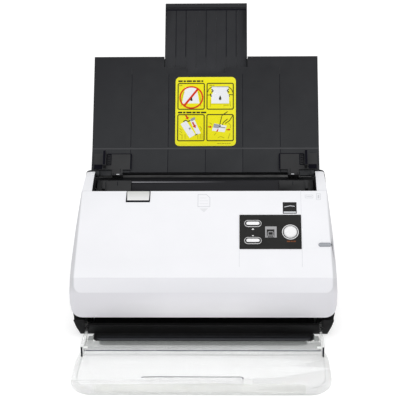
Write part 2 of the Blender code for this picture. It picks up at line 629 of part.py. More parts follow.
# ---- front cover --------------------------------------------------------------------
PANEL_BOX = (43.6 * MM, 117.4 * MM, 38.2 * MM, 83.7 * MM)          # x0, x1, along the face
PILLS = (("down_button", 48.9 * MM), ("up_button", 71.9 * MM))
PILL_X = (50.1 * MM, 68.8 * MM)
PILL_HALF = 3.6 * MM
SCAN = (104.4 * MM, 60.4 * MM)
SCAN_RADIUS = 8 * MM
DISPLAY = (73.9 * MM, 88.3 * MM, 52.8 * MM, 68.3 * MM)
LIGHT = (138 * MM, 153 * MM, 41.2 * MM, 46.2 * MM)
LATCH = (-94.2 * MM, -66.7 * MM, 102.4 * MM, 116.9 * MM)


def make_cover_shell():
    outline = [FRONT_LOW, PART_LOW, PART_TOP, FRONT_TOP, FRONT_CREASE, FRONT_NOSE]
    cover = piece("front_cover", side_mesh(outline, -170 * MM, 170 * MM), WHITE, COVER)
    keep(cover, body_mesh(FRONT_LOW[1], 168 * MM, 0, -5 * MM, 120 * MM, COVER_CORNER))
    inside = [(4.6 * MM, 15 * MM), (70 * MM, 15 * MM), (110 * MM, 152 * MM), (90.2 * MM, 152 * MM),
              (6.9 * MM, 75.6 * MM), (2.6 * MM, 60 * MM)]
    shape = tool(side_mesh(inside, -170 * MM, 170 * MM))
    trim = shape.modifiers.new("trim", "BOOLEAN")
    trim.object = tool(body_mesh(10 * MM, 160 * MM, WALL, -20 * MM, 140 * MM))
    trim.operation = "INTERSECT"
    step = cover.modifiers.new("hollow", "BOOLEAN")
    step.object = shape
    step.operation = "DIFFERENCE"
    # the top edge is open between the shoulders' inner walls above the paper
    cut(cover, block_mesh([(-OPENING_HALF, OPENING_HALF, 91.2 * MM, 120 * MM, 140 * MM, 170 * MM)]))
    x0, x1, u0, u1 = PANEL_BOX
    cut(cover, block_mesh([(x0 - GAP, x1 + GAP, u0 - GAP, u1 + GAP, -6 * MM, 3 * MM)], FACE))
    x0, x1, u0, u1 = LATCH
    latch_seat = (x0 - 0.5 * MM, x1 + 0.5 * MM, u0 - 0.6 * MM, u1 + 8 * MM, -6 * MM, 3 * MM)
    cut(cover, block_mesh([latch_seat], FACE))
    x0, x1, u0, u1 = LIGHT
    light_slot = rounded(x0 - GAP, x1 + GAP, u0 - GAP, u1 + GAP, 2.7 * MM)
    cut(cover, outline_mesh([light_slot], -6 * MM, 3 * MM, FLAT, FACE))
    # lugs that run on the hinge rod
    lug = [(1.2 * MM, 56 * MM), (9 * MM, 56 * MM)]
    lug += [(COVER_HINGE[0] + 4.2 * MM * math.cos(a), COVER_HINGE[1] + 4.2 * MM * math.sin(a))
            for a in (math.radians(-15 * i) for i in range(0, 13))]
    lug.append((2.4 * MM, 36 * MM))
    for side in (-1, 1):
        x0, x1 = sorted((side * 141.2 * MM, side * 144.2 * MM))
        add(cover, side_mesh(lug, x0, x1))
    cut(cover, rod_mesh([(-150 * MM, 150 * MM, *COVER_HINGE, 2.3 * MM)]))
    profile = [(0, 148.5 * MM), (2 * MM, 148.5 * MM), (2 * MM, -148.5 * MM), (0, -148.5 * MM)]
    turned("cover_hinge_rod", profile, STEEL, (0, *COVER_HINGE), steps=16)


def make_cover_inside():
    sheet = 2.5 * MM
    top = [side_point(PATH, 150 * MM, 35.5 * MM), side_point(PATH, 146 * MM, 24 * MM),
           side_point(PATH, 138 * MM, 10 * MM), side_point(PATH, 128 * MM, 3 * MM)]
    outer = [side_point(PATH, 128 * MM, 3 * MM + sheet), side_point(PATH, 136.2 * MM, 11.5 * MM),
             side_point(PATH, 143.6 * MM, 24.8 * MM), side_point(PATH, 147.4 * MM, 35.5 * MM)]
    loop = [side_point(PATH, 14 * MM, MM + sheet), side_point(PATH, 120 * MM, MM + sheet), *outer, *top,
            side_point(PATH, 120 * MM, MM), side_point(PATH, 14 * MM, MM)]
    frame = piece("cover_guide_frame", side_mesh(loop, -PATH_HALF, PATH_HALF), BLACK, COVER)
    windows = [(-101 * MM, 101 * MM, EXIT_S - 5.5 * MM, EXIT_S + 5.5 * MM, -2 * MM, 9 * MM),
               (-101 * MM, 101 * MM, TRANSPORT_S - 5.5 * MM, TRANSPORT_S + 5.5 * MM, -2 * MM, 9 * MM),
               (-SENSOR_HALF - MM, SENSOR_HALF + MM, 42 * MM, 56.5 * MM, -2 * MM, 9 * MM),
               (-24 * MM, 24 * MM, FEED_S - 13 * MM, FEED_S + 4 * MM, -2 * MM, 9 * MM)]
    cut(frame, block_mesh(windows, PATH))
    x0, x1, u0, u1 = LATCH
    cut(frame, block_mesh([(x0 - 2 * MM, x1 + 2 * MM, u0, u1 + 10 * MM, -9 * MM, 2 * MM)], FACE))
    for middle in (-122 * MM, 122 * MM):
        rib = (middle - MM, middle + MM, 20 * MM, 120 * MM, 3 * MM, 13 * MM)
        add(frame, block_mesh([rib], PATH))
    pinches = (("exit", EXIT_S), ("transport", TRANSPORT_S))
    radius = 5 * MM
    for key, along in pinches:
        y, z = side_point(PATH, along, radius + GAP)
        axle = pivot(f"{key}_pinch_pivot", (0, y, z), COVER)
        profile = [(0, 120 * MM), (1.5 * MM, 120 * MM), (1.5 * MM, 98 * MM), (radius, 98 * MM),
                   (radius, -98 * MM), (1.5 * MM, -98 * MM), (1.5 * MM, -120 * MM), (0, -120 * MM)]
        turned(f"{key}_pinch_roller", profile, RUBBER, (0, y, z), axle, steps=20)
    pad = [(-20 * MM, 20 * MM, FEED_S - 11.5 * MM, FEED_S - 0.5 * MM, GAP, 3.3 * MM)]
    piece("separation_pad", block_mesh(pad, PATH), RUBBER, COVER)


def slide_pivot(name, x, along, out=0.0):
    point = FACE @ Vector((x, along, out))
    return pivot(name, tuple(point), COVER)


def make_controls():
    x0, x1, u0, u1 = PANEL_BOX
    holes = []
    for _, middle in PILLS:
        holes.append(rounded(PILL_X[0] - 0.4 * MM, PILL_X[1] + 0.4 * MM, middle - PILL_HALF - 0.4 * MM,
                             middle + PILL_HALF + 0.4 * MM, PILL_HALF + 0.35 * MM))
    holes.append(circle(*SCAN, SCAN_RADIUS + 0.4 * MM, 28))
    holes.append(rounded(*DISPLAY, 1.2 * MM, 2))
    rim = rounded(x0, x1, u0, u1, 1.2 * MM, 2)
    piece("control_panel", outline_mesh([rim, *holes], -2.2 * MM, 0.4 * MM, FLAT, FACE), PANEL, COVER)
    for name, middle in PILLS:
        rim = rounded(*PILL_X, middle - PILL_HALF, middle + PILL_HALF, PILL_HALF - 0.05 * MM)
        centre = slide_pivot(f"{name}_pivot", sum(PILL_X) / 2, middle)
        piece(name, outline_mesh([rim], -3 * MM, 1.4 * MM, FLAT, FACE), SILVER, centre)
    centre = slide_pivot("scan_pivot", *SCAN)
    rim = circle(*SCAN, SCAN_RADIUS, 28)
    piece("scan_button", outline_mesh([rim], -3 * MM, 1.6 * MM, FLAT, FACE), SILVER, centre)
    d0, d1, v0, v1 = DISPLAY
    rim = rounded(d0 + GAP, d1 - GAP, v0 + GAP, v1 - GAP, 1 * MM, 2)
    piece("display_window", outline_mesh([rim], -2 * MM, 0.3 * MM, FLAT, FACE), SMOKED, COVER)
    rim = rounded(*LIGHT, 2.45 * MM)
    piece("status_light", outline_mesh([rim], -4 * MM, 0.3 * MM, FLAT, FACE), SILVER, COVER)
    x0, x1, u0, u1 = LATCH
    centre = slide_pivot("latch_pivot", (x0 + x1) / 2, (u0 + u1) / 2)
    piece("cover_latch", block_mesh([(x0, x1, u0, u1, -3.5 * MM, 0.3 * MM)], FACE), SILVER, centre)


# ---- paper chute --------------------------------------------------------------------
def make_chute():
    back = -CHUTE_THICK
    half_bend = math.tan((CHUTE_UP_LEAN - CHUTE_LOW_LEAN) / 2)
    loop = [side_point(CHUTE_LOW, CHUTE_FOOT, -CHUTE_SETBACK),
            side_point(CHUTE_LOW, CHUTE_FOOT, back - CHUTE_SETBACK),
            side_point(CHUTE_UP, half_bend * CHUTE_THICK, back),
            side_point(CHUTE_UP, CHUTE_UP_LENGTH, back),
            side_point(CHUTE_UP, CHUTE_UP_LENGTH, 0), side_point(CHUTE_UP, 0, 0)]
    chute = piece("paper_chute", side_mesh(loop, -CHUTE_HALF, CHUTE_HALF), BLACK, CHUTE)
    pocket_top = CHUTE_UP_LENGTH - 0.6 * MM
    add(chute, block_mesh([(-57 * MM, 57 * MM, 19 * MM, pocket_top, -9.6 * MM, -2 * MM)], CHUTE_UP))
    slot_half = EXTENSION_HALF + 0.5 * MM
    open_top = pocket_top + 5 * MM
    sleeve = (-slot_half, slot_half, 22 * MM, open_top, -7 * MM, -2.8 * MM)
    notch = (-slot_half, slot_half, 108.5 * MM, open_top, -4 * MM, 3 * MM)
    finger_notch = (-25 * MM, 25 * MM, 100.5 * MM, 112 * MM, -4 * MM, 3 * MM)
    for opening in (sleeve, notch, finger_notch):
        cut(chute, block_mesh([opening], CHUTE_UP))
    grooves = [47.5 * MM * i for i in range(-2, 3)]
    wide, deep = 0.35 * MM, 0.5 * MM
    for x in grooves:
        groove_top = 107 * MM if abs(x) > 50 * MM else 99 * MM
        upper = (x - wide, x + wide, 0.6 * MM, groove_top, -deep, 2 * MM)
        lower = (x - 0.8 * wide, x + 0.8 * wide, 5 * MM, CHUTE_CREASE - 0.6 * MM,
                 -CHUTE_SETBACK - 0.8 * deep, -CHUTE_SETBACK + 2 * MM)
        cut(chute, block_mesh([upper], CHUTE_UP))
        cut(chute, block_mesh([lower], CHUTE_LOW))
    # skirts close the gap behind the shoulders, outside the paper guides
    for side in (-1, 1):
        x0, x1 = sorted((side * 118.6 * MM, side * 134 * MM))
        skirt = (x0, x1, 1.6 * MM, 7 * MM, back - CHUTE_SETBACK, -CHUTE_SETBACK)
        add(chute, block_mesh([skirt], CHUTE_LOW))
    # hinge arms, pins and the stud of the guide pinion
    arm = [side_point(CHUTE_LOW, 3.9 * MM * math.cos(a), 3.9 * MM * math.sin(a))
           for a in (math.radians(15 * i) for i in range(2, 18))]
    arm += [side_point(CHUTE_LOW, 6.5 * MM, -10.7 * MM), side_point(CHUTE_LOW, 8.4 * MM, -10.7 * MM),
            side_point(CHUTE_LOW, 8.4 * MM, -7 * MM)]
    for side in (-1, 1):
        x0, x1 = sorted((side * 133 * MM, side * 136.6 * MM))
        add(chute, side_mesh(arm, x0, x1))
        x0, x1 = sorted((side * 135 * MM, side * 141.5 * MM))
        add(chute, rod_mesh([(x0, x1, *CHUTE_HINGE, 2.5 * MM)]))
    stud = (0, 24 * MM, -CHUTE_SETBACK - 6.6 * MM, -CHUTE_SETBACK - 2 * MM, 2 * MM)
    add(chute, post_mesh([stud], CHUTE_LOW, 16))
    rim = rounded(-LABEL_HALF, LABEL_HALF, LABEL_FOOT, LABEL_TOP, 5.5 * MM)
    piece("instruction_label", outline_mesh([rim], 0.2 * MM, 0.5 * MM, FLAT, CHUTE_UP), YELLOW, CHUTE)
    slider = pivot("extension_pivot", (0, *side_point(CHUTE_UP, CHUTE_UP_LENGTH, -4.8 * MM)), CHUTE)
    reach = CHUTE_UP_LENGTH + EXTENSION_OUT
    sheet = [(-EXTENSION_HALF, EXTENSION_HALF, CHUTE_UP_LENGTH - 24.5 * MM, reach,
              -EXTENSION_BACK, -3.4 * MM)]
    extension = piece("chute_extension", block_mesh(sheet, CHUTE_UP), BLACK, slider)
    lip = [(-EXTENSION_HALF + 0.4 * MM, EXTENSION_HALF - 0.4 * MM, reach - 6 * MM, reach - 0.4 * MM,
            -6 * MM, -1.5 * MM)]
    add(extension, block_mesh(lip, CHUTE_UP))
    for x in (-40 * MM, -26 * MM, -13 * MM, 0, 13 * MM, 26 * MM, 40 * MM):
        groove = (x - wide, x + wide, CHUTE_UP_LENGTH - 15 * MM, reach - 9 * MM, -3.8 * MM, -2 * MM)
        cut(extension, block_mesh([groove], CHUTE_UP))


def guide_box(side, x0, x1, *rest):
    low, high = sorted((side * x0, side * x1))
    return (low, high, *rest)


def make_guides():
    face = -CHUTE_SETBACK
    rear = face - CHUTE_THICK - 1.3 * MM
    for side, name in ((-1, "left"), (1, "right")):
        place = (side * GUIDE_WALL, *side_point(CHUTE_LOW, 24 * MM, face))
        slider = pivot(f"{name}_guide_pivot", place, CHUTE)
        plate = guide_box(side, GUIDE_INNER, GUIDE_OUTER, 9 * MM, GUIDE_TOP, face + GAP, face + 2 * MM)
        guide = piece(f"{name}_paper_guide", block_mesh([plate], CHUTE_LOW), BLACK, slider)
        wall_span = (GUIDE_WALL - 2 * MM, GUIDE_WALL + 2 * MM)
        wall = guide_box(side, *wall_span, 11 * MM, GUIDE_TOP, face + MM, face + 12 * MM)
        add(guide, block_mesh([wall], CHUTE_LOW))
        # the guide wraps round the chute's lower edge and carries a rack behind it
        layer = rear - 2 * MM if side < 0 else rear - 4.4 * MM
        neck = guide_box(side, 104 * MM, 118 * MM, 1.5 * MM, 12 * MM, face + GAP, face + 2 * MM)
        hook = guide_box(side, 104 * MM, 118 * MM, 1.5 * MM, 5.2 * MM, layer, face + MM)
        add(guide, block_mesh([neck], CHUTE_LOW))
        add(guide, block_mesh([hook], CHUTE_LOW))
        if side < 0:
            strip = (-118 * MM, -104 * MM, 4 * MM, 8.4 * MM, layer, rear)
            rack = (-117 * MM, 8 * MM, 6 * MM, 8.7 * MM, layer, rear)
        else:
            strip = (104 * MM, 118 * MM, 4 * MM, 41 * MM, layer, rear - 2.4 * MM)
            rack = (-8 * MM, 117 * MM, 39.3 * MM, 42 * MM, layer, rear)
        add(guide, block_mesh([strip], CHUTE_LOW))
        add(guide, block_mesh([rack], CHUTE_LOW))
        place = (side * GUIDE_WALL, *side_point(PATH, 178 * MM, 0))
        lower = pivot(f"{name}_throat_guide_pivot", place, ROOT)
        plate = guide_box(side, GUIDE_INNER, 135.5 * MM, 170 * MM, 185.5 * MM, -0.7 * MM, 1.2 * MM)
        throat = piece(f"{name}_throat_guide", block_mesh([plate], PATH), BLACK, lower)
        wall = guide_box(side, *wall_span, 171 * MM, 183 * MM, 0, 7 * MM)
        add(throat, block_mesh([wall], PATH))
    centre = (0, 24 * MM)
    teeth = 30
    radius = GUIDE_PINION_RADIUS - 0.3 * MM
    foot = radius - 1.4 * MM
    rim = []
    for i in range(teeth):
        for part, reach in ((0.25, foot), (0.40, radius), (0.75, radius), (0.90, foot)):
            turn = 2 * math.pi * (i + part) / teeth
            rim.append((centre[0] + reach * math.cos(turn), centre[1] + reach * math.sin(turn)))
    axle = pivot("guide_pinion_pivot", (0, *side_point(CHUTE_LOW, 24 * MM, face)), CHUTE)
    bore = circle(*centre, 2.3 * MM, 16)
    piece("guide_pinion", outline_mesh([rim, bore], rear - 2 * MM, rear, FLAT, CHUTE_LOW), GEAR, axle)
    case = (-124 * MM, 124 * MM, 7 * MM, 47 * MM, rear - 7 * MM, rear + MM)
    cover = piece("rack_cover", block_mesh([case], CHUTE_LOW), BLACK, CHUTE)
    hollow = (-122 * MM, 122 * MM, 0, 44.5 * MM, rear - 5.4 * MM, rear + 5 * MM)
    cut(cover, block_mesh([hollow], CHUTE_LOW))


# ---- output tray --------------------------------------------------------------------
def tray_outline():
    """Plan of the tray: swept corners in front, and sides that draw in towards the arms behind."""
    wide, deep = TRAY_CORNER
    quarter = [math.radians(10 * i) for i in range(10)]
    right = [(TRAY_HALF - wide * (1 - math.sin(a)), TRAY_FRONT + deep * (1 - math.cos(a))) for a in quarter]
    wide, deep = TRAY_REAR_CORNER
    right += [(TRAY_HALF - wide * (1 - math.cos(a)), TRAY_BACK - deep * (1 - math.sin(a))) for a in quarter]
    return right + [(-x, y) for x, y in reversed(right)]


def make_tray():
    low, high = MM, 3.6 * MM
    tray = piece("output_tray", outline_mesh([tray_outline()], low, high, FLAT), CLEAR, TRAY)
    add(tray, block_mesh([(-141.5 * MM, 141.5 * MM, -60 * MM, -14 * MM, low, 3.4 * MM)]))
    add(tray, block_mesh([(-138 * MM, 138 * MM, -56 * MM, TRAY_BACK - 0.6 * MM, low, 5.2 * MM)]))
    add(tray, block_mesh([(-65 * MM, 46 * MM, -116 * MM, -114 * MM, low, 5 * MM)]))
    arm = [(TRAY_HINGE[0] + 4.5 * MM * math.cos(a), TRAY_HINGE[1] + 4.5 * MM * math.sin(a))
           for a in (math.radians(-120 + 15 * i) for i in range(0, 19))]
    arm += [(-4 * MM, 10.2 * MM), (-55.5 * MM, 15 * MM), (-56.5 * MM, 14 * MM),
            (-56.5 * MM, 1.2 * MM), (-8 * MM, 1.2 * MM)]
    for side in (-1, 1):
        x0, x1 = sorted((side * 138.5 * MM, side * 141.7 * MM))
        add(tray, side_mesh(arm, x0, x1))
        x0, x1 = sorted((side * 140 * MM, side * 146.4 * MM))
        add(tray, rod_mesh([(x0, x1, *TRAY_HINGE, 2.5 * MM)]))


make_base()
make_feet()
make_side_covers()
make_rear_housing()
make_path_frame()
make_sensor("rear", 61.2 * MM, -2.4 * MM, -14 * MM, ROOT)
make_sensor("front", 43.2 * MM, 2.4 * MM, 14 * MM, COVER)
make_side_plates()
make_drive()
make_electronics()
make_cover_shell()
make_cover_inside()
make_controls()
make_chute()
make_guides()
make_tray()
bpy.context.view_layer.update()
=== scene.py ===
"""Looks for a sheet fed document scanner: finishes, printed and moulded detail, light and camera.

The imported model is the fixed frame. +Z is up and the scanner faces -Y. Places on faces and
reaches along directions are in millimetres.
"""

import json
import math

import bpy
from mathutils import Matrix, Vector


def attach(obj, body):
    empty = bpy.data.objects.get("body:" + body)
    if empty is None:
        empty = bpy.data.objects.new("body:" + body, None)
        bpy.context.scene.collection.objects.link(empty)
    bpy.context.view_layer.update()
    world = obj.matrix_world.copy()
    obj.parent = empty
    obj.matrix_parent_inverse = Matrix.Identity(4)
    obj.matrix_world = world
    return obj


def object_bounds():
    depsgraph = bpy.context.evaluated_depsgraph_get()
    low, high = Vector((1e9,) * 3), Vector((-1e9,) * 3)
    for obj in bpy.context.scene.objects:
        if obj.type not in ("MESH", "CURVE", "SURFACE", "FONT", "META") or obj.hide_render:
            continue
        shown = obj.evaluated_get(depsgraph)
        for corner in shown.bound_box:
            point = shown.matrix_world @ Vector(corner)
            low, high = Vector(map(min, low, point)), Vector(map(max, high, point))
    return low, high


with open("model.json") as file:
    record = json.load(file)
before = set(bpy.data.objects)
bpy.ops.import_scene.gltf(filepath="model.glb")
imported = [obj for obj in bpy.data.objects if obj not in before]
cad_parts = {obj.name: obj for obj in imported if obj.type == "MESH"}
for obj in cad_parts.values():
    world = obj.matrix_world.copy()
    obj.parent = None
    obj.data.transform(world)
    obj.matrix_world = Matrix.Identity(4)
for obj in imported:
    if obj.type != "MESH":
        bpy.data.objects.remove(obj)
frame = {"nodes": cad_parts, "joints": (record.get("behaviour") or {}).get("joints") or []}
CAD_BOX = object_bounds()
NODES = frame["nodes"]
MM = 0.001


# ---- Places taken from the CAD ----

class Face:
    """A flat face: x runs across it, u runs up it, and out is the distance away from it."""

    def __init__(self, across, up):
        self.across = Vector(across).normalized()
        self.up = Vector(up).normalized()
        self.out = self.across.cross(self.up)

    def at(self, x, u, out):
        return (self.across * x + self.up * u + self.out * out) * MM


def joint_axis(name):
    """The direction a joint turns about or slides along."""
    return Vector(next(joint for joint in frame["joints"] if joint["name"] == name)["axis"])


def corners(node):
    """A CAD node's corners, in millimetres."""
    return [NODES[node].matrix_world @ vertex.co / MM for vertex in NODES[node].data.vertices]


def reach(node, direction):
    """How far a CAD node reaches along a direction, lowest then highest."""
    spots = [corner.dot(direction) for corner in corners(node)]
    return min(spots), max(spots)


def edges(node, face):
    """A node's sides on a face: x low, x high, u low, u high, and the top's distance out."""
    across = reach(node, face.across)
    up = reach(node, face.up)
    return across[0], across[1], up[0], up[1], reach(node, face.out)[1]


ACROSS = Vector((1, 0, 0))
UP = Vector((0, 0, 1))
COVER_OUT = -joint_axis("up_press")
COVER = Face(ACROSS, COVER_OUT.cross(ACROSS))
CHUTE = Face(ACROSS, -joint_axis("extension_slide"))
LOWER_CHUTE = Face(ACROSS, joint_axis("guide_pinion_turn").cross(ACROSS))
FRONT = Face(ACROSS, UP)
BACK = Face(-ACROSS, UP)
RIGHT = Face(Vector((0, 1, 0)), UP)
TOP = Face(ACROSS, Vector((0, 1, 0)))
BELOW = Face(-ACROSS, Vector((0, 1, 0)))


def face_on(node, toward):
    """The face through a node's broadest flat side that looks toward a direction."""
    turn = NODES[node].matrix_world.to_3x3()
    sides = [side for side in NODES[node].data.polygons if (turn @ side.normal).dot(Vector(toward)) > 0.5]
    out = (turn @ max(sides, key=lambda side: side.area).normal).normalized()
    return Face(ACROSS, out.cross(ACROSS))


LOWER_PATH = face_on("throat_plate", (0, -0.7, 0.7))


# ---- Flat outlines, anticlockwise, in (x, u) ----

def rounded_box(x_low, x_high, u_low, u_high, radius, steps=5):
    """A rectangle with rounded corners."""
    centres = (
        (x_high - radius, u_high - radius, 0),
        (x_low + radius, u_high - radius, 90),
        (x_low + radius, u_low + radius, 180),
        (x_high - radius, u_low + radius, 270),
    )
    outline = []
    for centre_x, centre_u, start in centres:
        for step in range(steps + 1):
            angle = math.radians(start + 90 * step / steps)
            outline.append((centre_x + radius * math.cos(angle), centre_u + radius * math.sin(angle)))
    return outline


def disc(x, u, radius, steps=40):
    """A round outline."""
    turns = [2 * math.pi * step / steps for step in range(steps)]
    return [(x + radius * math.cos(turn), u + radius * math.sin(turn)) for turn in turns]


def stroke(line, width):
    """A line of constant width along a few points."""
    left, right = [], []
    for index, (x, u) in enumerate(line):
        before = line[max(index - 1, 0)]
        after = line[min(index + 1, len(line) - 1)]
        run_x, run_u = after[0] - before[0], after[1] - before[1]
        length = math.hypot(run_x, run_u)
        side_x, side_u = -run_u / length * width / 2, run_x / length * width / 2
        left.append((x + side_x, u + side_u))
        right.append((x - side_x, u - side_u))
    return right + left[::-1]


def upright(x, u_low, u_high, width, radius=0.1):
    """An upright bar centred on x, with barely rounded corners."""
    return rounded_box(x - width / 2, x + width / 2, u_low, u_high, radius, 2)


def turned(x, u, angle, spots):
    """Points turned by angle, in degrees, and set round (x, u)."""
    cos, sin = math.cos(math.radians(angle)), math.sin(math.radians(angle))
    return [(x + a * cos - b * sin, u + a * sin + b * cos) for a, b in spots]


def arrow(x, u, length, width, angle):
    """A solid arrow whose tip points along angle, in degrees, centred on (x, u)."""
    half = length / 2
    neck = length * 0.1
    shaft = width * 0.2
    wing = width / 2
    return turned(x, u, angle, ((-half, -shaft), (neck, -shaft), (neck, -wing), (half, 0), (neck, wing),
                                (neck, shaft), (-half, shaft)))


def tilted_box(x, u, length, width, angle):
    """A rectangle centred on (x, u), with its length along angle, in degrees."""
    far, high = length / 2, width / 2
    return turned(x, u, angle, ((-far, -high), (far, -high), (far, high), (-far, high)))


def box_by(x, u, left, right, low, high, radius=0.2):
    """A small barely rounded box whose sides are given from the point (x, u)."""
    return rounded_box(x + left, x + right, u + low, u + high, radius, 2)


def frame_line(x_low, x_high, u_low, u_high, radius, width):
    """A rounded rectangular line, as its outer and inner outlines."""
    outer = rounded_box(x_low, x_high, u_low, u_high, radius)
    inner = rounded_box(x_low + width, x_high - width, u_low + width, u_high - width,
                        max(radius - width, 0.1))
    return outer, inner


DASH_WIDTHS = (2.6, 1.4, 3.1, 1.9, 2.2, 3.6, 1.2)
DASH_GAP = 0.45


def line_of_print(x_low, x_high, u, height):
    """A row of short dashes that stands for a line of small print, with no letters in it."""
    dashes = []
    x = x_low
    index = 0
    while x < x_high:
        width = height * DASH_WIDTHS[index % len(DASH_WIDTHS)]
        end = min(x + width, x_high)
        if end - x > height * 0.5:
            dashes.append(rounded_box(x, end, u, u + height, height * 0.24, 2))
        x = end + height * DASH_GAP
        index += 1
    return dashes


# ---- Finishes ----

def node_tools(name):
    """An empty node material, with its principled shader joined to the output."""
    material = bpy.data.materials.new(name)
    material.use_nodes = True
    tree = material.node_tree
    return material, tree, tree.nodes["Principled BSDF"]


def noise(tree, scale, detail=3.0, stretch=(1, 1, 1)):
    """A noise pattern in the object's own metres, as its factor output."""
    place = tree.nodes.new("ShaderNodeTexCoord")
    turn = tree.nodes.new("ShaderNodeMapping")
    turn.inputs["Scale"].default_value = stretch
    pattern = tree.nodes.new("ShaderNodeTexNoise")
    pattern.inputs["Scale"].default_value = scale
    pattern.inputs["Detail"].default_value = detail
    tree.links.new(place.outputs["Object"], turn.inputs["Vector"])
    tree.links.new(turn.outputs["Vector"], pattern.inputs["Vector"])
    return pattern.outputs["Fac"]


def spread(tree, value, low, high, start=0.3, end=0.7):
    """Maps a pattern from start..end to low..high."""
    ramp = tree.nodes.new("ShaderNodeMapRange")
    ramp.inputs["From Min"].default_value = start
    ramp.inputs["From Max"].default_value = end
    ramp.inputs["To Min"].default_value = low
    ramp.inputs["To Max"].default_value = high
    tree.links.new(value, ramp.inputs["Value"])
    return ramp.outputs["Result"]


def blend_colours(tree, factor, first, second):
    """Mixes two colours or colour outputs by a factor."""
    mix = tree.nodes.new("ShaderNodeMix")
    mix.data_type = "RGBA"
    tree.links.new(factor, mix.inputs["Factor"])
    for place, colour in zip([one for one in mix.inputs if one.type == "RGBA"], (first, second)):
        if isinstance(colour, tuple):
            place.default_value = (*colour, 1)
        else:
            tree.links.new(colour, place)
    return [one for one in mix.outputs if one.type == "RGBA"][0]


def edge_mask(tree, radius):
    """1 along sharp outer edges and 0 on open faces, from how far a rounded normal leans."""
    rounded = tree.nodes.new("ShaderNodeBevel")
    rounded.samples = 4
    rounded.inputs["Radius"].default_value = radius
    shape = tree.nodes.new("ShaderNodeNewGeometry")
    lean = tree.nodes.new("ShaderNodeVectorMath")
    lean.operation = "DOT_PRODUCT"
    tree.links.new(rounded.outputs["Normal"], lean.inputs[0])
    tree.links.new(shape.outputs["Normal"], lean.inputs[1])
    return spread(tree, lean.outputs["Value"], 1, 0, 0.82, 0.985)


def coordinate(tree, source, output, axis):
    """One axis of a place or direction that a node gives."""
    parts = tree.nodes.new("ShaderNodeSeparateXYZ")
    tree.links.new(tree.nodes.new(source).outputs[output], parts.inputs["Vector"])
    return parts.outputs[axis]


def along(tree, axis):
    """How far along the piece's own box a spot lies, from 0 to 1."""
    return coordinate(tree, "ShaderNodeTexCoord", "Generated", axis)


def reckon(tree, operation, *values):
    """One step of arithmetic on numbers and pattern outputs."""
    step = tree.nodes.new("ShaderNodeMath")
    step.operation = operation
    for socket, value in zip(step.inputs, values):
        if isinstance(value, (int, float)):
            socket.default_value = value
        else:
            tree.links.new(value, socket)
    return step.outputs["Value"]


def between_walls(tree, half):
    """1 between two upright planes that stand half a width either side of the middle, and 0 outside."""
    x = coordinate(tree, "ShaderNodeNewGeometry", "Position", "X")
    return reckon(tree, "LESS_THAN", reckon(tree, "ABSOLUTE", x), half * MM)


FACE_HALF = 152.8
FACE_CORNER = 8
TAPER_FOOT = 80
TAPER = 0.055
CREASE_HEIGHT = 76.7
NOSE_HEIGHT = 60
# Painted shade on the front cover: a darker band below the crease, grey beside the face, and shade under the
# nose.
SHADE_BELOW_CREASE = (0.79, 0.79, 0.825)
SHADE_BESIDE_FACE = (0.58, 0.582, 0.605)
NOSE_SHADE_FADE = (32, 58)
SIDE_SHADE_FADE = (40, 150)
# The painted shade under the nose grows lighter toward the bottom and darker toward the sides.
SHADE_UNDER_NOSE = ((0.775, 0.77, 0.81), (0.97, 0.96, 0.99), (0.68, 0.675, 0.71))  # upper, lower and at the sides


def paint_shade_round_face(tree, base):
    """Paints shade on the front cover beside and below its main face, whose lower corners are rounded."""
    low, high = reach("front_cover", UP)
    half = reach("front_cover", ACROSS)[1]
    wide = reckon(tree, "ABSOLUTE", reckon(tree, "MULTIPLY_ADD", along(tree, "X"), 2 * half, -half))
    tall = reckon(tree, "MULTIPLY_ADD", along(tree, "Z"), high - low, low)
    rise = reckon(tree, "MAXIMUM", reckon(tree, "SUBTRACT", tall, TAPER_FOOT), 0)
    side = reckon(tree, "MULTIPLY_ADD", rise, TAPER, wide)
    past_side = reckon(tree, "MAXIMUM", reckon(tree, "SUBTRACT", side, FACE_HALF - FACE_CORNER), 0)
    past_nose = reckon(tree, "MAXIMUM", reckon(tree, "SUBTRACT", NOSE_HEIGHT + FACE_CORNER, tall), 0)
    nose_square = reckon(tree, "MULTIPLY", past_nose, past_nose)
    away = reckon(tree, "SQRT", reckon(tree, "MULTIPLY_ADD", past_side, past_side, nose_square))
    lean = reckon(tree, "ABSOLUTE", coordinate(tree, "ShaderNodeNewGeometry", "Normal", "X"))
    outside = reckon(tree, "MULTIPLY", spread(tree, away, 0, 1, FACE_CORNER, FACE_CORNER + 1.6),
                     spread(tree, lean, 1, 0, 0.5, 0.8))
    band = spread(tree, tall, 1, 0, CREASE_HEIGHT - 0.4, CREASE_HEIGHT + 0.4)
    base = blend_colours(tree, band, base, SHADE_BELOW_CREASE)
    under = blend_colours(tree, spread(tree, tall, 1, 0, *NOSE_SHADE_FADE), *SHADE_UNDER_NOSE[:2])
    under = blend_colours(tree, spread(tree, wide, 0, 1, *SIDE_SHADE_FADE), under, SHADE_UNDER_NOSE[2])
    nose = spread(tree, tall, 1, 0, NOSE_HEIGHT - 2, NOSE_HEIGHT + 8)
    return blend_colours(tree, outside, base, blend_colours(tree, nose, SHADE_BESIDE_FACE, under))


def scaled(colour, factor):
    """A colour made lighter or darker."""
    return tuple(min(1.0, part * factor) for part in colour)


BLOTCH_WAVES = 22
RUB_WAVES = 75
BUMP_RISE = 0.2 * MM


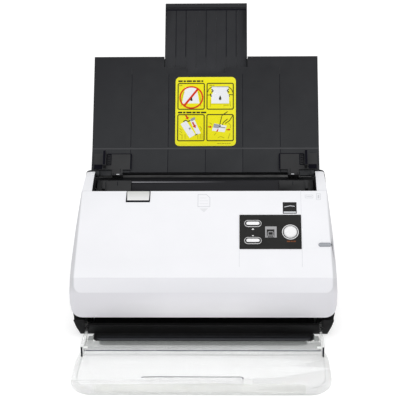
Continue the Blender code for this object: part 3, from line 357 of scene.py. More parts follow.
def finish(name, colour, roughness, grain=1400, depth=0.12, tone=0.05, shine=0.5, edge=None,
           edge_radius=0.7 * MM, stretch=(1, 1, 1), fade=None, lined=None, shade=None, **settings):
    """A moulded, printed or metal surface: tone, roughness and fine grain all vary over it.

    grain is in waves a metre, tone is how far the colour wanders, and edge is the colour along sharp edges:
    worn edges on most parts, and a painted highlight on the black mouldings.
    fade is an axis of the piece's box and the colour at its far end, lined is a half width and the colour
    of a lining within it, and shade is a function that tones the colour further.
    """
    material, tree, shader = node_tools(name)
    blotch = noise(tree, BLOTCH_WAVES, 4.0)
    wander = spread(tree, blotch, 0, 1)
    base = blend_colours(tree, wander, scaled(colour, 1 - tone), scaled(colour, 1 + tone))
    if fade:
        base = blend_colours(tree, along(tree, fade[0]), base, fade[1])
    if edge:
        base = blend_colours(tree, edge_mask(tree, edge_radius), base, edge)
    if lined:
        base = blend_colours(tree, between_walls(tree, lined[0]), base, lined[1])
    if shade:
        base = shade(tree, base)
    tree.links.new(base, shader.inputs["Base Color"])
    rub = noise(tree, RUB_WAVES, 3.0, stretch)
    rough = spread(tree, rub, roughness * 0.82, min(1.0, roughness * 1.18))
    tree.links.new(rough, shader.inputs["Roughness"])
    bump = tree.nodes.new("ShaderNodeBump")
    bump.inputs["Strength"].default_value = depth
    bump.inputs["Distance"].default_value = BUMP_RISE
    tree.links.new(noise(tree, grain, 2.0, stretch), bump.inputs["Height"])
    tree.links.new(bump.outputs["Normal"], shader.inputs["Normal"])
    shader.inputs["Specular IOR Level"].default_value = shine
    for socket, value in settings.items():
        shader.inputs[socket.replace("_", " ")].default_value = value
    return material


def white(name, colour=(0.83, 0.835, 0.862), **more):
    """The shell's white."""
    return finish(name, colour, 0.38, depth=0.10, tone=0.010, shine=0.3, edge=(0.87, 0.875, 0.895), **more)


def black(name, colour, edge, roughness=0.48, depth=0.2, tone=0.05, shine=0.14, **more):
    """A black moulded part whose paler edges are a painted highlight."""
    return finish(name, colour, roughness, depth=depth, tone=tone, shine=shine, edge=edge, **more)


def thin(name, colour, roughness=0.3, depth=0.04, tone=0.06, shine=0.2, **more):
    """A thin line, tint or skin laid on a part."""
    return finish(name, colour, roughness, depth=depth, tone=tone, shine=shine, **more)


def ink(name, colour, tone=0.02, roughness=0.4, depth=0.03, shine=0.1):
    """Flat print."""
    return finish(name, colour, roughness, grain=1800, depth=depth, tone=tone, shine=shine)


LINING = (reach("throat_plate", ACROSS)[1] + 1.0, (0.012, 0.012, 0.013))
WHITE = white("white_shell")
SIDE_WHITE = white("white_shell_lined", lined=LINING)
# The front cover's white, with painted shade round its main face.
COVER_WHITE_SHADED = white("white_shell_cover_shaded", (0.852, 0.855, 0.885), shade=paint_shade_round_face)
# The latch is painted grey toward its top: painted shade over one white.
LATCH_WHITE_SHADED = finish("latch_white", (0.90, 0.90, 0.91), 0.34, depth=0.08, tone=0.010, shine=0.3,
                     fade=("Z", (0.56, 0.57, 0.55)))
# The chute and its extension are painted darker toward the top: painted shade over one black.
CHUTE_BLACK = black("chute_black", (0.030, 0.0315, 0.0345), (0.050, 0.051, 0.053), tone=0.04,
                    fade=("Z", (0.0165, 0.017, 0.0195)))
EXTENSION_BLACK = black("extension_black", (0.0255, 0.0265, 0.0300), (0.048, 0.049, 0.052), 0.46, tone=0.08,
                        fade=("Z", (0.018, 0.0185, 0.0210)))
GUIDE_BLACK = black("guide_black", (0.033, 0.0335, 0.0350), (0.040, 0.041, 0.046), 0.44, 0.16, 0.08)
GLINT = thin("throat_glint", (0.30, 0.30, 0.32), tone=0.05, shine=0.12, fade=("X", (0.012, 0.012, 0.015)))
# Painted shade on the ledge before the base, darker toward the base.
LEDGE_SHADE_FADE = thin("ledge_painted_shade", (0.070, 0.072, 0.080), 0.5, 0.10, shine=0.08,
                  fade=("Y", (0.010, 0.010, 0.0110)))
# Near black for thin lines, mostly painted shadow in grooves, gaps and under edges.
BAR_BLACK = thin("bar_black", (0.005, 0.005, 0.009), 0.5, 0.05, 0.1, 0.03)
# Lines painted on the clear tray where it steps, ridges and turns: painted shade.
STEP_LINE = thin("step_line", (0.055, 0.06, 0.09))
RIDGE_LINE = thin("ridge_line", (0.16, 0.165, 0.18))
SOFT_LINE = thin("soft_line", (0.56, 0.57, 0.57), tone=0.04)
# A near white for painted highlights on the clear tray and its arms.
CLEAR_HIGHLIGHT = thin("clear_highlight", (0.90, 0.91, 0.90), 0.12, tone=0.03, shine=0.6)
# Painted shadow on the tray's rear, darker toward the base.
CLEAR_SHADOW_TINT = thin("clear_shadow_tint", (0.70, 0.72, 0.72), 0.2, 0.02, 0.05, 0.5, fade=("Y", (0.36, 0.38, 0.36)),
                  Alpha=0.34)
CLEAR_SHADE = thin("clear_shade", (0.42, 0.43, 0.44), 0.4, 0.02, 0.03, 0.1, fade=("Y", (0.010, 0.010, 0.012)),
                   Alpha=0.86)
# Painted shade over the clear tray's curved front lip.
CLEAR_LIP_SHADE = thin("clear_lip_shade", (0.78, 0.80, 0.72), 0.2, 0.02, 0.03, 0.5, Alpha=0.12)
# Painted soft shadow on the tray beside its arms.
WEB_SHADOW_TINT = thin("web_tint", (0.36, 0.38, 0.37), 0.2, 0.02, 0.05, 0.5, Alpha=0.62)
CREASE_HIGHLIGHT = thin("crease_highlight", (0.050, 0.051, 0.055), 0.4, 0.10, 0.08, 0.14)
GUSSET = thin("clear_gusset", (0.62, 0.63, 0.60), 0.12, tone=0.25, shine=0.6, edge=(0.9, 0.9, 0.9),
              edge_radius=0.9 * MM, Alpha=0.55)
BLACK = black("black_shell", (0.019, 0.0195, 0.0215), (0.040, 0.041, 0.044))
# The base's paler edges paint a highlight, such as the light line along the top of its lip.
DEEP_BLACK = black("base_black", (0.013, 0.013, 0.0135), (0.045, 0.045, 0.047), 0.5, tone=0.1, shine=0.08)
GLOSS_BLACK = black("throat_black", (0.011, 0.011, 0.014), (0.03, 0.03, 0.036), 0.18, 0.02, 0.06, 0.12)
PANEL_BLACK = black("panel_black", (0.018, 0.018, 0.0175), (0.04, 0.04, 0.04), 0.36, 0.16, 0.12, 0.10,
                    grain=2600)
SILVER = finish("key_silver", (0.76, 0.76, 0.77), 0.26, grain=3000, depth=0.05, tone=0.03,
                edge=(0.92, 0.92, 0.92), Metallic=0.25)
BRUSHED = finish("brushed_silver", (0.70, 0.70, 0.71), 0.24, grain=900, depth=0.10, tone=0.04,
                 edge=(0.95, 0.95, 0.95), stretch=(1, 9, 9), Metallic=0.3)
CLEAR = finish("clear_acrylic", (0.93, 0.95, 0.94), 0.03, grain=30, depth=0.004, tone=0.01,
               Transmission_Weight=1.0, IOR=1.45, Alpha=0.38)
YELLOW = finish("label_yellow", (0.80, 0.745, 0.010), 0.42, grain=1800, depth=0.04, tone=0.02, shine=0.08,
                edge=(0.88, 0.84, 0.06), edge_radius=0.9 * MM)
PAPER_WHITE = ink("label_white", (0.78, 0.79, 0.82), roughness=0.42)
INK_BLACK = ink("label_black", (0.035, 0.034, 0.012), 0.15)
INK_RED = ink("label_red", (0.62, 0.035, 0.012), 0.10)
INK_GREY = ink("label_grey", (0.33, 0.34, 0.38), 0.12)
INK_OLIVE = ink("label_olive", (0.42, 0.38, 0.01), 0.2)
PANEL_PRINT = ink("panel_print", (0.36, 0.36, 0.37), 0.08, 0.35, 0.04)
PANEL_AMBER = ink("panel_amber", (0.20, 0.062, 0.022), 0.15, depth=0.04)
FAINT_GREY = ink("faint_mark", (0.60, 0.61, 0.64), 0.04, depth=0.04, shine=0.5)
FAINTER_GREY = ink("fainter_mark", (0.74, 0.745, 0.77), depth=0.04, shine=0.5)
LIGHT_PIPE = finish("light_pipe", (0.30, 0.315, 0.345), 0.22, grain=900, depth=0.05, tone=0.04,
                    edge=(0.55, 0.57, 0.6), Coat_Weight=0.3)
RUBBER = finish("rubber", (0.035, 0.036, 0.035), 0.82, grain=700, depth=0.5, tone=0.15,
                edge=(0.06, 0.06, 0.06))
STEEL = finish("steel", (0.56, 0.57, 0.58), 0.30, grain=500, depth=0.10, tone=0.05, edge=(0.75, 0.76, 0.77),
               stretch=(0.1, 1, 1), Metallic=1.0)
BRONZE = finish("sintered_bronze", (0.45, 0.27, 0.12), 0.42, grain=1600, depth=0.25, tone=0.12,
                edge=(0.6, 0.38, 0.18), Metallic=1.0)
ACETAL = finish("gear_plastic", (0.80, 0.79, 0.74), 0.42, grain=900, depth=0.08, tone=0.03,
                edge=(0.9, 0.89, 0.85))
BOARD = finish("circuit_board", (0.02, 0.13, 0.055), 0.34, grain=420, depth=0.35, tone=0.28,
               edge=(0.10, 0.25, 0.12))
SENSOR = finish("sensor_body", (0.05, 0.052, 0.056), 0.5, grain=900, depth=0.2, tone=0.1,
                edge=(0.09, 0.09, 0.1))
SENSOR_GLASS = finish("sensor_glass", (0.05, 0.06, 0.065), 0.05, grain=200, depth=0.01, tone=0.1,
                      Coat_Weight=1.0)
STICKER_WHITE = finish("sticker_white", (0.78, 0.78, 0.77), 0.45, grain=1500, depth=0.05, tone=0.03)
SOCKET_METAL = finish("socket_metal", (0.60, 0.58, 0.55), 0.28, grain=900, depth=0.1, tone=0.08, Metallic=1.0)

FINISH_OF_SLOT = {
    "white_shell": WHITE, "black_shell": BLACK, "throat_black": GLOSS_BLACK, "panel_black": PANEL_BLACK,
    "key_silver": SILVER, "clear_tray": CLEAR, "label_yellow": YELLOW, "rubber": RUBBER, "steel": STEEL,
    "bronze": BRONZE, "gear_plastic": ACETAL, "circuit_board": BOARD, "sensor": SENSOR,
    "sensor_glass": SENSOR_GLASS,
}
FINISH_OF_NODE = {
    "base_tub": DEEP_BLACK, "status_light": LIGHT_PIPE, "scan_button": BRUSHED, "throat_plate": GLOSS_BLACK,
    "cover_latch": LATCH_WHITE_SHADED, "front_cover": COVER_WHITE_SHADED, "left_side_cover": SIDE_WHITE,
    "right_side_cover": SIDE_WHITE, "paper_chute": CHUTE_BLACK, "chute_extension": EXTENSION_BLACK,
}
FINISH_OF_NODE.update(dict.fromkeys(("display_window", "up_button", "down_button"), PANEL_BLACK))
FINISH_OF_NODE.update({f"{side}_{part}_guide": GUIDE_BLACK for side in ("left", "right")
                       for part in ("paper", "throat")})

for node_name, node in NODES.items():
    slot_name = node.data.materials[0].name.split(".")[0]
    chosen = FINISH_OF_NODE.get(node_name) or FINISH_OF_SLOT[slot_name]
    for material_slot in node.material_slots:
        material_slot.material = chosen
    for polygon in node.data.polygons:
        polygon.use_smooth = True
    weld = node.modifiers.new("joined_edges", "WELD")
    weld.merge_threshold = 0.01 * MM
    soften = node.modifiers.new("soft_edges", "BEVEL")
    soften.width = 0.3 * MM
    soften.segments = 2
    soften.limit_method = "ANGLE"
    soften.angle_limit = math.radians(30)
    soften.harden_normals = True


# ---- Making pieces ----

def put(name, points, faces, material, body, smooth=False):
    """Adds a mesh as a piece that rides on a body, with the finish it is given."""
    mesh = bpy.data.meshes.new(name)
    mesh.from_pydata(points, [], faces)
    mesh.validate()
    mesh.update()
    mesh.materials.append(material)
    piece = bpy.data.objects.new(name, mesh)
    bpy.context.scene.collection.objects.link(piece)
    for polygon in mesh.polygons:
        polygon.use_smooth = smooth
    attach(piece, body)
    return piece


def plate(name, shapes, face, low, high, material, body):
    """Flat shapes standing on a face from low to high. Each is an outline, or an outer and an inner one."""
    points, faces = [], []
    for shape in shapes:
        outer, inner = shape if isinstance(shape, tuple) else (shape, None)
        count = len(outer)
        first = len(points)
        for outline in (outer,) if inner is None else (outer, inner):
            for out in (low, high):
                points += [face.at(x, u, out) for x, u in outline]
        after = [(index + 1) % count for index in range(count)]
        for index in range(count):
            here, there = first + index, first + after[index]
            faces.append((here, there, there + count, here + count))
            if inner is not None:
                faces.append((here + 3 * count, there + 3 * count, there + 2 * count, here + 2 * count))
                faces.append((here + count, there + count, there + 3 * count, here + 3 * count))
                faces.append((here + 2 * count, there + 2 * count, there, here))
        if inner is None:
            faces.append(tuple(range(first + count, first + 2 * count)))
            faces.append(tuple(range(first + count - 1, first - 1, -1)))
    return put(name, points, faces, material, body)


def loft(name, loops, material, body):
    """A closed form through matching loops of points, capped at both ends."""
    count = len(loops[0])
    points = [point for loop in loops for point in loop]
    faces = [tuple(range(count - 1, -1, -1))]
    for level in range(len(loops) - 1):
        for index in range(count):
            here = level * count + index
            there = level * count + (index + 1) % count
            faces.append((here, there, there + count, here + count))
    faces.append(tuple(range((len(loops) - 1) * count, len(loops) * count)))
    return put(name, points, faces, material, body, smooth=True)


CROWN_STEPS = 5


def crowned(name, outline, face, low, high, rim, material, body):
    """A cap on a face with rounded shoulders: its outline draws in by rim as it rises to high."""
    centre_x = sum(x for x, _ in outline) / len(outline)
    centre_u = sum(u for _, u in outline) / len(outline)
    loops = []
    for step in range(CROWN_STEPS + 1):
        turn = math.pi / 2 * step / CROWN_STEPS
        draw_in = rim * (1 - math.cos(turn))
        rise = low + (high - low) * math.sin(turn)
        loop = []
        for x, u in outline:
            away = math.hypot(x - centre_x, u - centre_u)
            keep = 1 - draw_in / away
            drawn_x, drawn_u = centre_x + (x - centre_x) * keep, centre_u + (u - centre_u) * keep
            loop.append(face.at(drawn_x, drawn_u, rise))
        loops.append(loop)
    return loft(name, loops, material, body)


def screw(name, face, x, u, out, radius, body):
    """A pan head screw with a cross slot."""
    crowned(name, disc(x, u, radius, 24), face, out - 0.3, out + 0.75, radius * 0.45, STEEL, body)
    bar = radius * 0.62
    thick = bar * 0.2
    cross = [box_by(x, u, -wide, wide, -tall, tall, thick / 2) for wide, tall in ((bar, thick), (thick, bar))]
    plate(name + "_slot", cross, face, out + 0.72, out + 0.80, INK_BLACK, body)


# ---- The yellow instruction label ----

PRINT = 0.06
LABEL_LEFT, LABEL_RIGHT, LABEL_FOOT, LABEL_TOP, LABEL_OUT = edges("instruction_label", CHUTE)
CARD_GAP = 2.2
CARD_SIDE = 2.6
CARD_WIDTH = (LABEL_RIGHT - LABEL_LEFT - 2 * CARD_SIDE - CARD_GAP) / 2
CARD_HEIGHT = 36.3
UPPER_CARD = LABEL_TOP - 8.0 - CARD_HEIGHT
LOWER_CARD = LABEL_FOOT + 6.3
LEFT_CARD = LABEL_LEFT + CARD_SIDE
RIGHT_CARD = LABEL_RIGHT - CARD_SIDE - CARD_WIDTH


def on_card(left, foot):
    """Turns millimetres from a card's middle into label places."""
    middle_x = left + CARD_WIDTH / 2
    middle_u = foot + CARD_HEIGHT / 2

    def place(*spots):
        return [(middle_x + x, middle_u + u) for x, u in spots]
    return place


def strokes(place, *lines):
    """Lines on a card, each given as its width and then its points."""
    return [stroke(place(*spots), width) for width, *spots in lines]


def label_print(name, shapes, material, level=0):
    """Ink on the label. A higher level lies over a lower one."""
    plate("label_" + name, shapes, CHUTE, LABEL_OUT - PRINT, LABEL_OUT + (1 + level) * PRINT, material,
          "chute")


def make_label():
    """Four framed pictograms and two rows of print: sheets go in loose and flat, cards go in lengthways."""
    cards = [(left, foot) for foot in (UPPER_CARD, LOWER_CARD) for left in (LEFT_CARD, RIGHT_CARD)]
    lines = [frame_line(left, left + CARD_WIDTH, foot, foot + CARD_HEIGHT, 2.4, 1.35) for left, foot in cards]
    label_print("card_lines", lines, INK_BLACK)
    upper_top, lower_top = UPPER_CARD + CARD_HEIGHT, LOWER_CARD + CARD_HEIGHT
    title_rows = line_of_print(LEFT_CARD + 0.8, LEFT_CARD + CARD_WIDTH - 2, upper_top + 1.3, 2.2)
    title_rows += line_of_print(LEFT_CARD + 0.6, LEFT_CARD + CARD_WIDTH + 2, lower_top + 1.1, 2.2)
    label_print("title_rows", title_rows, INK_BLACK)
    small_rows = line_of_print(LEFT_CARD + 2, LEFT_CARD + 7.4, upper_top - 4.2, 1.6)
    small_rows += line_of_print(RIGHT_CARD + 3.4, RIGHT_CARD + 10, upper_top - 4.2, 1.6)
    small_rows += line_of_print(RIGHT_CARD + 14, RIGHT_CARD + 31, LOWER_CARD - 3.6, 1.1)
    label_print("small_rows", small_rows, INK_OLIVE)

    no_go = on_card(LEFT_CARD, UPPER_CARD)
    sheet = no_go((10.6, -9.6), (7.0, 12.4), (-7.6, 12.4), (-11.6, -9.6))[::-1]
    label_print("curled_sheet", [sheet], PAPER_WHITE, 1)
    side_curls = strokes(no_go, (0.9, (-12.6, -9.0), (-11.6, 0.0), (-9.0, 6.0)),
                         (0.9, (12.2, -9.0), (11.4, 0.0), (9.4, 6.0)), (0.8, (-13.0, -13.6), (-12.4, -10.4)),
                         (0.8, (12.6, -13.6), (12.0, -10.4)))
    label_print("side_curls", side_curls, INK_OLIVE, 1)
    centre = no_go((0.2, -1.6))[0]
    label_print("stop_ring", [(disc(*centre, 15.3, 56), disc(*centre, 13.5, 56))], INK_RED, 3)
    label_print("stop_bar", strokes(no_go, (2.7, (-8.9, -12.8), (8.9, 10.2))), INK_RED, 2)
    spots = (disc(*no_go((0.3, -4.8))[0], 1.5, 20), disc(*no_go((0.5, -2.6))[0], 1.0, 16))
    label_print("left_spots", spots, INK_BLACK, 3)

    go = on_card(RIGHT_CARD, UPPER_CARD)
    notched = go((-11.4, -9.8), (11.4, -9.8), (11.2, 1.6), (9.2, 4.6), (11.0, 8.2), (10.4, 12.4),
                 (-10.8, 12.4), (-11.2, 8.2), (-9.2, 4.6), (-11.4, 1.6))
    label_print("flat_sheet", [notched], PAPER_WHITE, 1)
    label_print("sheet_edge", strokes(go, (1.0, (-10.8, 12.8), (10.6, 12.8))), INK_GREY, 2)
    hands = strokes(go, (0.8, (-16.0, 6.0), (-14.4, 9.8), (-10.8, 12.6)),
                    (0.8, (16.4, 4.6), (14.6, 9.4), (10.8, 12.6)),
                    (1.5, (-10.9, 9.4), (-8.9, 7.2), (-11.2, 5.2)),
                    (1.5, (10.9, 9.8), (9.0, 7.4), (11.4, 5.0)), (0.8, (-16.0, 1.6), (-11.6, 1.8)),
                    (1.0, (16.6, 1.8), (11.6, 2.2), (12.0, -0.6)), (1.3, (-12.4, 3.6), (-11.4, -0.8)))
    label_print("hands", hands, INK_BLACK, 2)
    drop = go((1.7, -4.2), (1.3, -1.8), (0.0, 1.2), (-1.3, -1.8), (-1.7, -4.2), (0.0, -5.6))
    label_print("right_drop", [drop], INK_BLACK, 2)
    floor_marks = strokes(go, (0.6, (-11.2, -10.6), (11.2, -10.6)), (0.7, (-12.4, -13.8), (-12.2, -5.0)),
                          (0.7, (13.0, -13.8), (12.6, -7.0)), (0.6, (4.0, -12.8), (11.0, -12.4)))
    label_print("guide_marks", floor_marks, INK_OLIVE, 1)

    pile = on_card(LEFT_CARD, LOWER_CARD)
    left_pile = tilted_box(*pile((-3.8, -2.2))[0], 22, 8.6, -58)
    right_pile = tilted_box(*pile((5.4, 1.6))[0], 22, 5.6, -66)
    label_print("card_pile", [left_pile, right_pile], PAPER_WHITE, 1)
    grey_ends = (
        tilted_box(*pile((2.4, 11.4))[0], 3.4, 6.0, -60),
        tilted_box(*pile((-1.4, -1.2))[0], 2.4, 2.4, -58),
    )
    label_print("card_ends", grey_ends, INK_GREY, 2)
    dark_edges = strokes(pile, (1.3, (-9.8, 8.2), (-6.8, 9.8), (-3.6, 8.4), (-0.6, 9.8)),
                         (0.9, (5.6, -10.2), (8.4, -8.4)))
    label_print("card_edges", dark_edges, INK_BLACK, 2)
    pile_arrows = [arrow(*pile((-5.2, 14.0))[0], 6.4, 4.6, -62), arrow(*pile((4.0, 3.4))[0], 9.0, 4.8, -64)]
    label_print("pile_arrows", pile_arrows, INK_RED, 3)
    ridges = [stroke(pile((x, -9.6 + abs(x) * 0.1), (x, -15.4)), 0.6) for x in (-11.2, -7.4, 8.8, 12.0, 14.2)]
    ridges += [stroke(pile((-14.6, -1.0 - step), (-11.4, -3.4 - step)), 0.6) for step in (0, 3.4, 6.8)]
    ridges += [stroke(pile((11.0, 2.0), (13.4, -0.6), (12.6, -4.2)), 0.7)]
    label_print("ridges", ridges, INK_OLIVE, 1)

    slide = on_card(RIGHT_CARD, LOWER_CARD)
    card = slide((-10.4, -4.0), (5.6, -6.2), (8.4, 2.4), (-7.6, 5.6))
    label_print("single_card", [card], PAPER_WHITE, 1)
    stripe = tilted_box(*slide((-4.8, 2.0))[0], 7.2, 5.2, -10)
    second_stripe = tilted_box(*slide((2.6, 0.2))[0], 8.4, 1.5, -8)
    label_print("card_stripe", [stripe, second_stripe], INK_GREY, 2)
    wrist = strokes(slide, (0.9, (9.6, 21.4), (2.6, 16.4), (1.0, 10.6), (-0.4, 3.6)),
                    (0.8, (16.4, 16.6), (12.0, 9.2), (6.4, 5.4)), (0.8, (9.6, 11.6), (4.2, 7.0), (3.0, 3.4)),
                    (1.4, (-1.4, 1.8), (1.0, 2.2)))
    label_print("wrist", wrist, INK_BLACK, 3)
    slide_arrows = [arrow(*slide((-13.0, 1.0))[0], 4.6, 3.4, 0), arrow(*slide((10.6, -2.8))[0], 5.0, 3.2, 4),
                    stroke(slide((-2.6, -2.2), (-4.2, -5.6)), 1.4)]
    label_print("slide_arrows", slide_arrows, INK_RED, 3)
    loose = strokes(slide, (0.7, (-13.4, 6.6), (-10.4, 4.4)), (0.7, (-5.6, -7.0), (-7.4, -10.2)),
                    (0.7, (12.6, -7.6), (10.4, -14.8)), (0.6, (-2.8, -13.4), (0.6, -11.8), (5.4, -13.6)),
                    (0.7, (10.6, 6.4), (13.4, 3.0), (13.0, -0.6)))
    label_print("loose_lines", loose, INK_OLIVE, 1)


make_label()


# ---- The front cover's marks, panel and keys ----

PANEL_LEFT, PANEL_RIGHT, PANEL_FOOT, PANEL_TOP, PANEL_OUT = edges("control_panel", COVER)
SHELL_OUT = reach("front_cover", COVER.out)[1]
SHELL_TOP = reach("front_cover", COVER.up)[1]
MARK = 0.05


def cover_mark(name, shapes, material, proud=MARK):
    """A mark on the cover's white face."""
    plate(name, shapes, COVER, SHELL_OUT - MARK, SHELL_OUT + proud, material, "cover")


def panel_mark(name, shapes, material, proud=MARK):
    """A mark or ring on the black panel."""
    plate(name, shapes, COVER, PANEL_OUT - MARK, PANEL_OUT + proud, material, "cover")


RING_HEIGHT = 0.9
RING_PROFILE = ((0, 0), (0.12, 0.75), (0.38, 1.0), (0.62, 1.0), (0.88, 0.75), (1, 0))


def raised_ring(name, outer, inner):
    """A silver ring round a key, standing on the panel, with a rounded top."""
    points, faces = [], []
    count = len(outer)
    for inward, rise in RING_PROFILE:
        out = PANEL_OUT + rise * RING_HEIGHT - MARK
        for (x, u), (x_in, u_in) in zip(outer, inner):
            points.append(COVER.at(x + (x_in - x) * inward, u + (u_in - u) * inward, out))
    rows = len(RING_PROFILE)
    for row in range(rows):
        for index in range(count):
            here, there = row * count + index, row * count + (index + 1) % count
            above = (row + 1) % rows * count
            faces.append((here, there, above + (index + 1) % count, above + index))
    put(name, points, faces, SILVER, "cover", smooth=True)


def make_key(side, body):
    """A pill key: a silver ring on the panel, a dark well, and a pale cap that moves with the key."""
    x_low, x_high, u_low, u_high, key_out = edges(side + "_button", COVER)
    half = (u_high - u_low) / 2

    def pill(grow):
        return rounded_box(x_low - grow, x_high + grow, u_low - grow, u_high + grow, half + grow, 8)

    clear = 0.2
    raised_ring(side + "_key_ring", pill(clear + 0.85), pill(clear))
    end, waist = 1.2, 1.3
    cap = rounded_box(x_low + end, x_high - end, u_low + waist, u_high - waist, half - waist, 8)
    crowned(side + "_key_cap", cap, COVER, key_out - 0.2, key_out + 0.5, 0.9, SILVER, body)


def make_scan_key():
    """The round key: an outer ring on the panel, a dark gap, and a shallow brushed cap."""
    x_low, x_high, u_low, u_high, key_out = edges("scan_button", COVER)
    x, u = (x_low + x_high) / 2, (u_low + u_high) / 2
    radius = (x_high - x_low) / 2
    raised_ring("scan_key_ring", disc(x, u, radius + 2.1, 48), disc(x, u, radius + 0.9, 48))
    crowned("scan_key_cap", disc(x, u, radius - 0.3, 48), COVER, key_out - 0.2, key_out + 0.5, 2.0, BRUSHED,
            "scan_key")
    rows = line_of_print(x - 4.4, x + 6.4, u - 13.2, 1.6)
    panel_mark("scan_key_print", rows, PANEL_AMBER)


def make_display_icon():
    """A plain counter window: a grey hood over a dark window with a small tray outline in it."""
    x_low, x_high, u_low, u_high, out = edges("display_window", COVER)
    width, height = x_high - x_low, u_high - u_low
    left, right, top = x_low + width * 0.13, x_high - width * 0.20, u_high - height * 0.26
    hood = [(x_low, u_low), (left, u_low), (left, top), (right, top), (right, u_low), (x_high, u_low),
            (x_high, u_high), (x_low, u_high)]
    plate("display_hood", [hood], COVER, out - MARK, out + 0.3, PANEL_PRINT, "cover")
    x, u = x_low + width * 0.47, u_low + height * 0.30
    marks = [
        frame_line(x - 3.4, x + 3.4, u - 1.6, u + 3.8, 1.2, 0.8),
        stroke([(x - 3.2, u - 1.4), (x - 4.0, u - 4.4)], 0.9),
        stroke([(x + 3.2, u - 1.4), (x + 4.0, u - 4.4)], 0.9),
        stroke([(x - 2.6, u - 3.6), (x + 2.6, u - 3.6)], 0.7),
    ]
    plate("display_tray_mark", marks, COVER, out - MARK, out + 0.12, PANEL_PRINT, "cover")


def make_cover_marks():
    """Everything drawn or moulded on the cover round the panel."""
    key_box = edges("up_button", COVER)
    key_x = (key_box[0] + key_box[1]) / 2
    below = key_box[2] - 3.6
    above = edges("down_button", COVER)[3] + 3.0
    up_tip = [(key_x - 1.5, below - 0.9), (key_x + 1.5, below - 0.9), (key_x, below + 1.1)]
    down_tip = [(key_x - 1.5, above + 0.7), (key_x, above - 0.7), (key_x + 1.5, above + 0.7)]
    panel_mark("key_tips", [up_tip, down_tip], SILVER)
    rim = frame_line(PANEL_LEFT - 0.3, PANEL_RIGHT + 0.3, PANEL_FOOT - 0.3, PANEL_TOP + 0.3, 0.8, 0.5)
    panel_mark("panel_rim", [rim], PANEL_BLACK, 0.15)

    seam = 0.35
    seam_foot = PANEL_FOOT - 24
    left_x, right_x = PANEL_LEFT - 0.6, PANEL_RIGHT + 0.6
    seams = [
        rounded_box(x - seam / 2, x + seam / 2, low, high, seam * 0.4, 2)
        for x, low, high in (
            (left_x, seam_foot, PANEL_FOOT - 0.6),
            (right_x, seam_foot, PANEL_FOOT - 0.6),
            (right_x, PANEL_TOP + 0.6, SHELL_TOP - 0.5),
        )
    ]
    cover_mark("panel_seams", seams, FAINT_GREY, 0.02)

    side, foot, rise, lean = 1.2, 0.5, 1.9, 0.5
    left, right, low, high, _ = edges("cover_latch", COVER)
    outline = [
        (left - lean, high), (left - side, low - foot), (right + side - lean, low - foot),
        (right + side, high), (right + lean, high), (right - lean, low + rise), (left + lean, low + rise),
        (left + 0.1, high),
    ]
    # A painted shadow in the gap round the latch, widest under its foot.
    cover_mark("latch_gap_shadow", [outline], BAR_BLACK, 0.34)

    left, right = PANEL_RIGHT - 21.6, PANEL_RIGHT - 4.8
    foot_u = PANEL_TOP + 2.0
    top_u = foot_u + 15.8
    cover_mark("sticker", [rounded_box(left, right, foot_u, top_u, 0.6)], PANEL_BLACK, 0.10)
    inset = 1.0
    bars = [
        rounded_box(left + inset, right - inset, foot_u + inset, foot_u + 2.9, 0.3, 2),
        stroke([(left + 2, foot_u + 9.2), (left + 9, foot_u + 10.8), (right - 2.4, foot_u + 10.0)], 0.9),
    ]
    plate("sticker_bars", bars, COVER, SHELL_OUT, SHELL_OUT + 0.16, FAINT_GREY, "cover")

    sheet_top = PANEL_TOP + 29
    sheet_foot = PANEL_TOP + 11.5
    fold = 4.6
    half = 7.6
    line = 0.7
    sheet = [(-half, sheet_foot), (half, sheet_foot), (half, sheet_top - fold), (half - fold, sheet_top),
             (-half, sheet_top)]
    within = [(-half + line, sheet_foot + line), (half - line, sheet_foot + line),
              (half - line, sheet_top - fold - line * 0.4), (half - fold - line * 0.4, sheet_top - line),
              (-half + line, sheet_top - line)]
    tip = [(-5.2, sheet_foot - 2.0), (0, sheet_foot - 7.6), (5.2, sheet_foot - 2.0)]
    rows = [rounded_box(-half + 2.4, half - 2.4 - cut, u, u + 0.7, 0.2, 2)
            for u, cut in ((sheet_foot + 4, 0), (sheet_foot + 8, 0), (sheet_foot + 12, 2))]
    cover_mark("feed_side_mark", [(sheet, within)], FAINT_GREY, 0.05)
    cover_mark("feed_side_arrow", [tip, *rows], FAINTER_GREY, 0.05)

    faint_x, faint_u = PANEL_RIGHT + 10.6, PANEL_TOP + 25.6
    icons = [
        frame_line(faint_x - 5, faint_x + 5, faint_u - 2.2, faint_u + 2.4, 0.8, 0.5),
        box_by(faint_x, faint_u, -3.4, 3.4, -0.3, 0.4),
        frame_line(faint_x + 8.8, faint_x + 14, faint_u - 4.6, faint_u + 4.4, 0.8, 0.5),
        box_by(faint_x, faint_u, 10.4, 12.4, -2.6, 2.4),
    ]
    cover_mark("side_icons", icons, FAINT_GREY, 0.04)


make_key("up", "up_key")
make_key("down", "down_key")
make_scan_key()
make_display_icon()
make_cover_marks()


# ---- Paper guides and throat ----

def dark_line(name, shapes, face, out, proud, body):
    """A thin black line on a black part's face, mostly painted shadow in grooves and under edges."""
    plate(name, shapes, face, out - MARK, out + proud, BAR_BLACK, body)


GUIDE_WIDTH = 48
GUIDE_WALL = 10
THROAT_GUIDE_WALL = 5.8
CHUTE_BEND = 38.9
CHUTE_BELOW_WALL = 12
GROOVE_PITCH = 47.5
GROOVE = 0.7


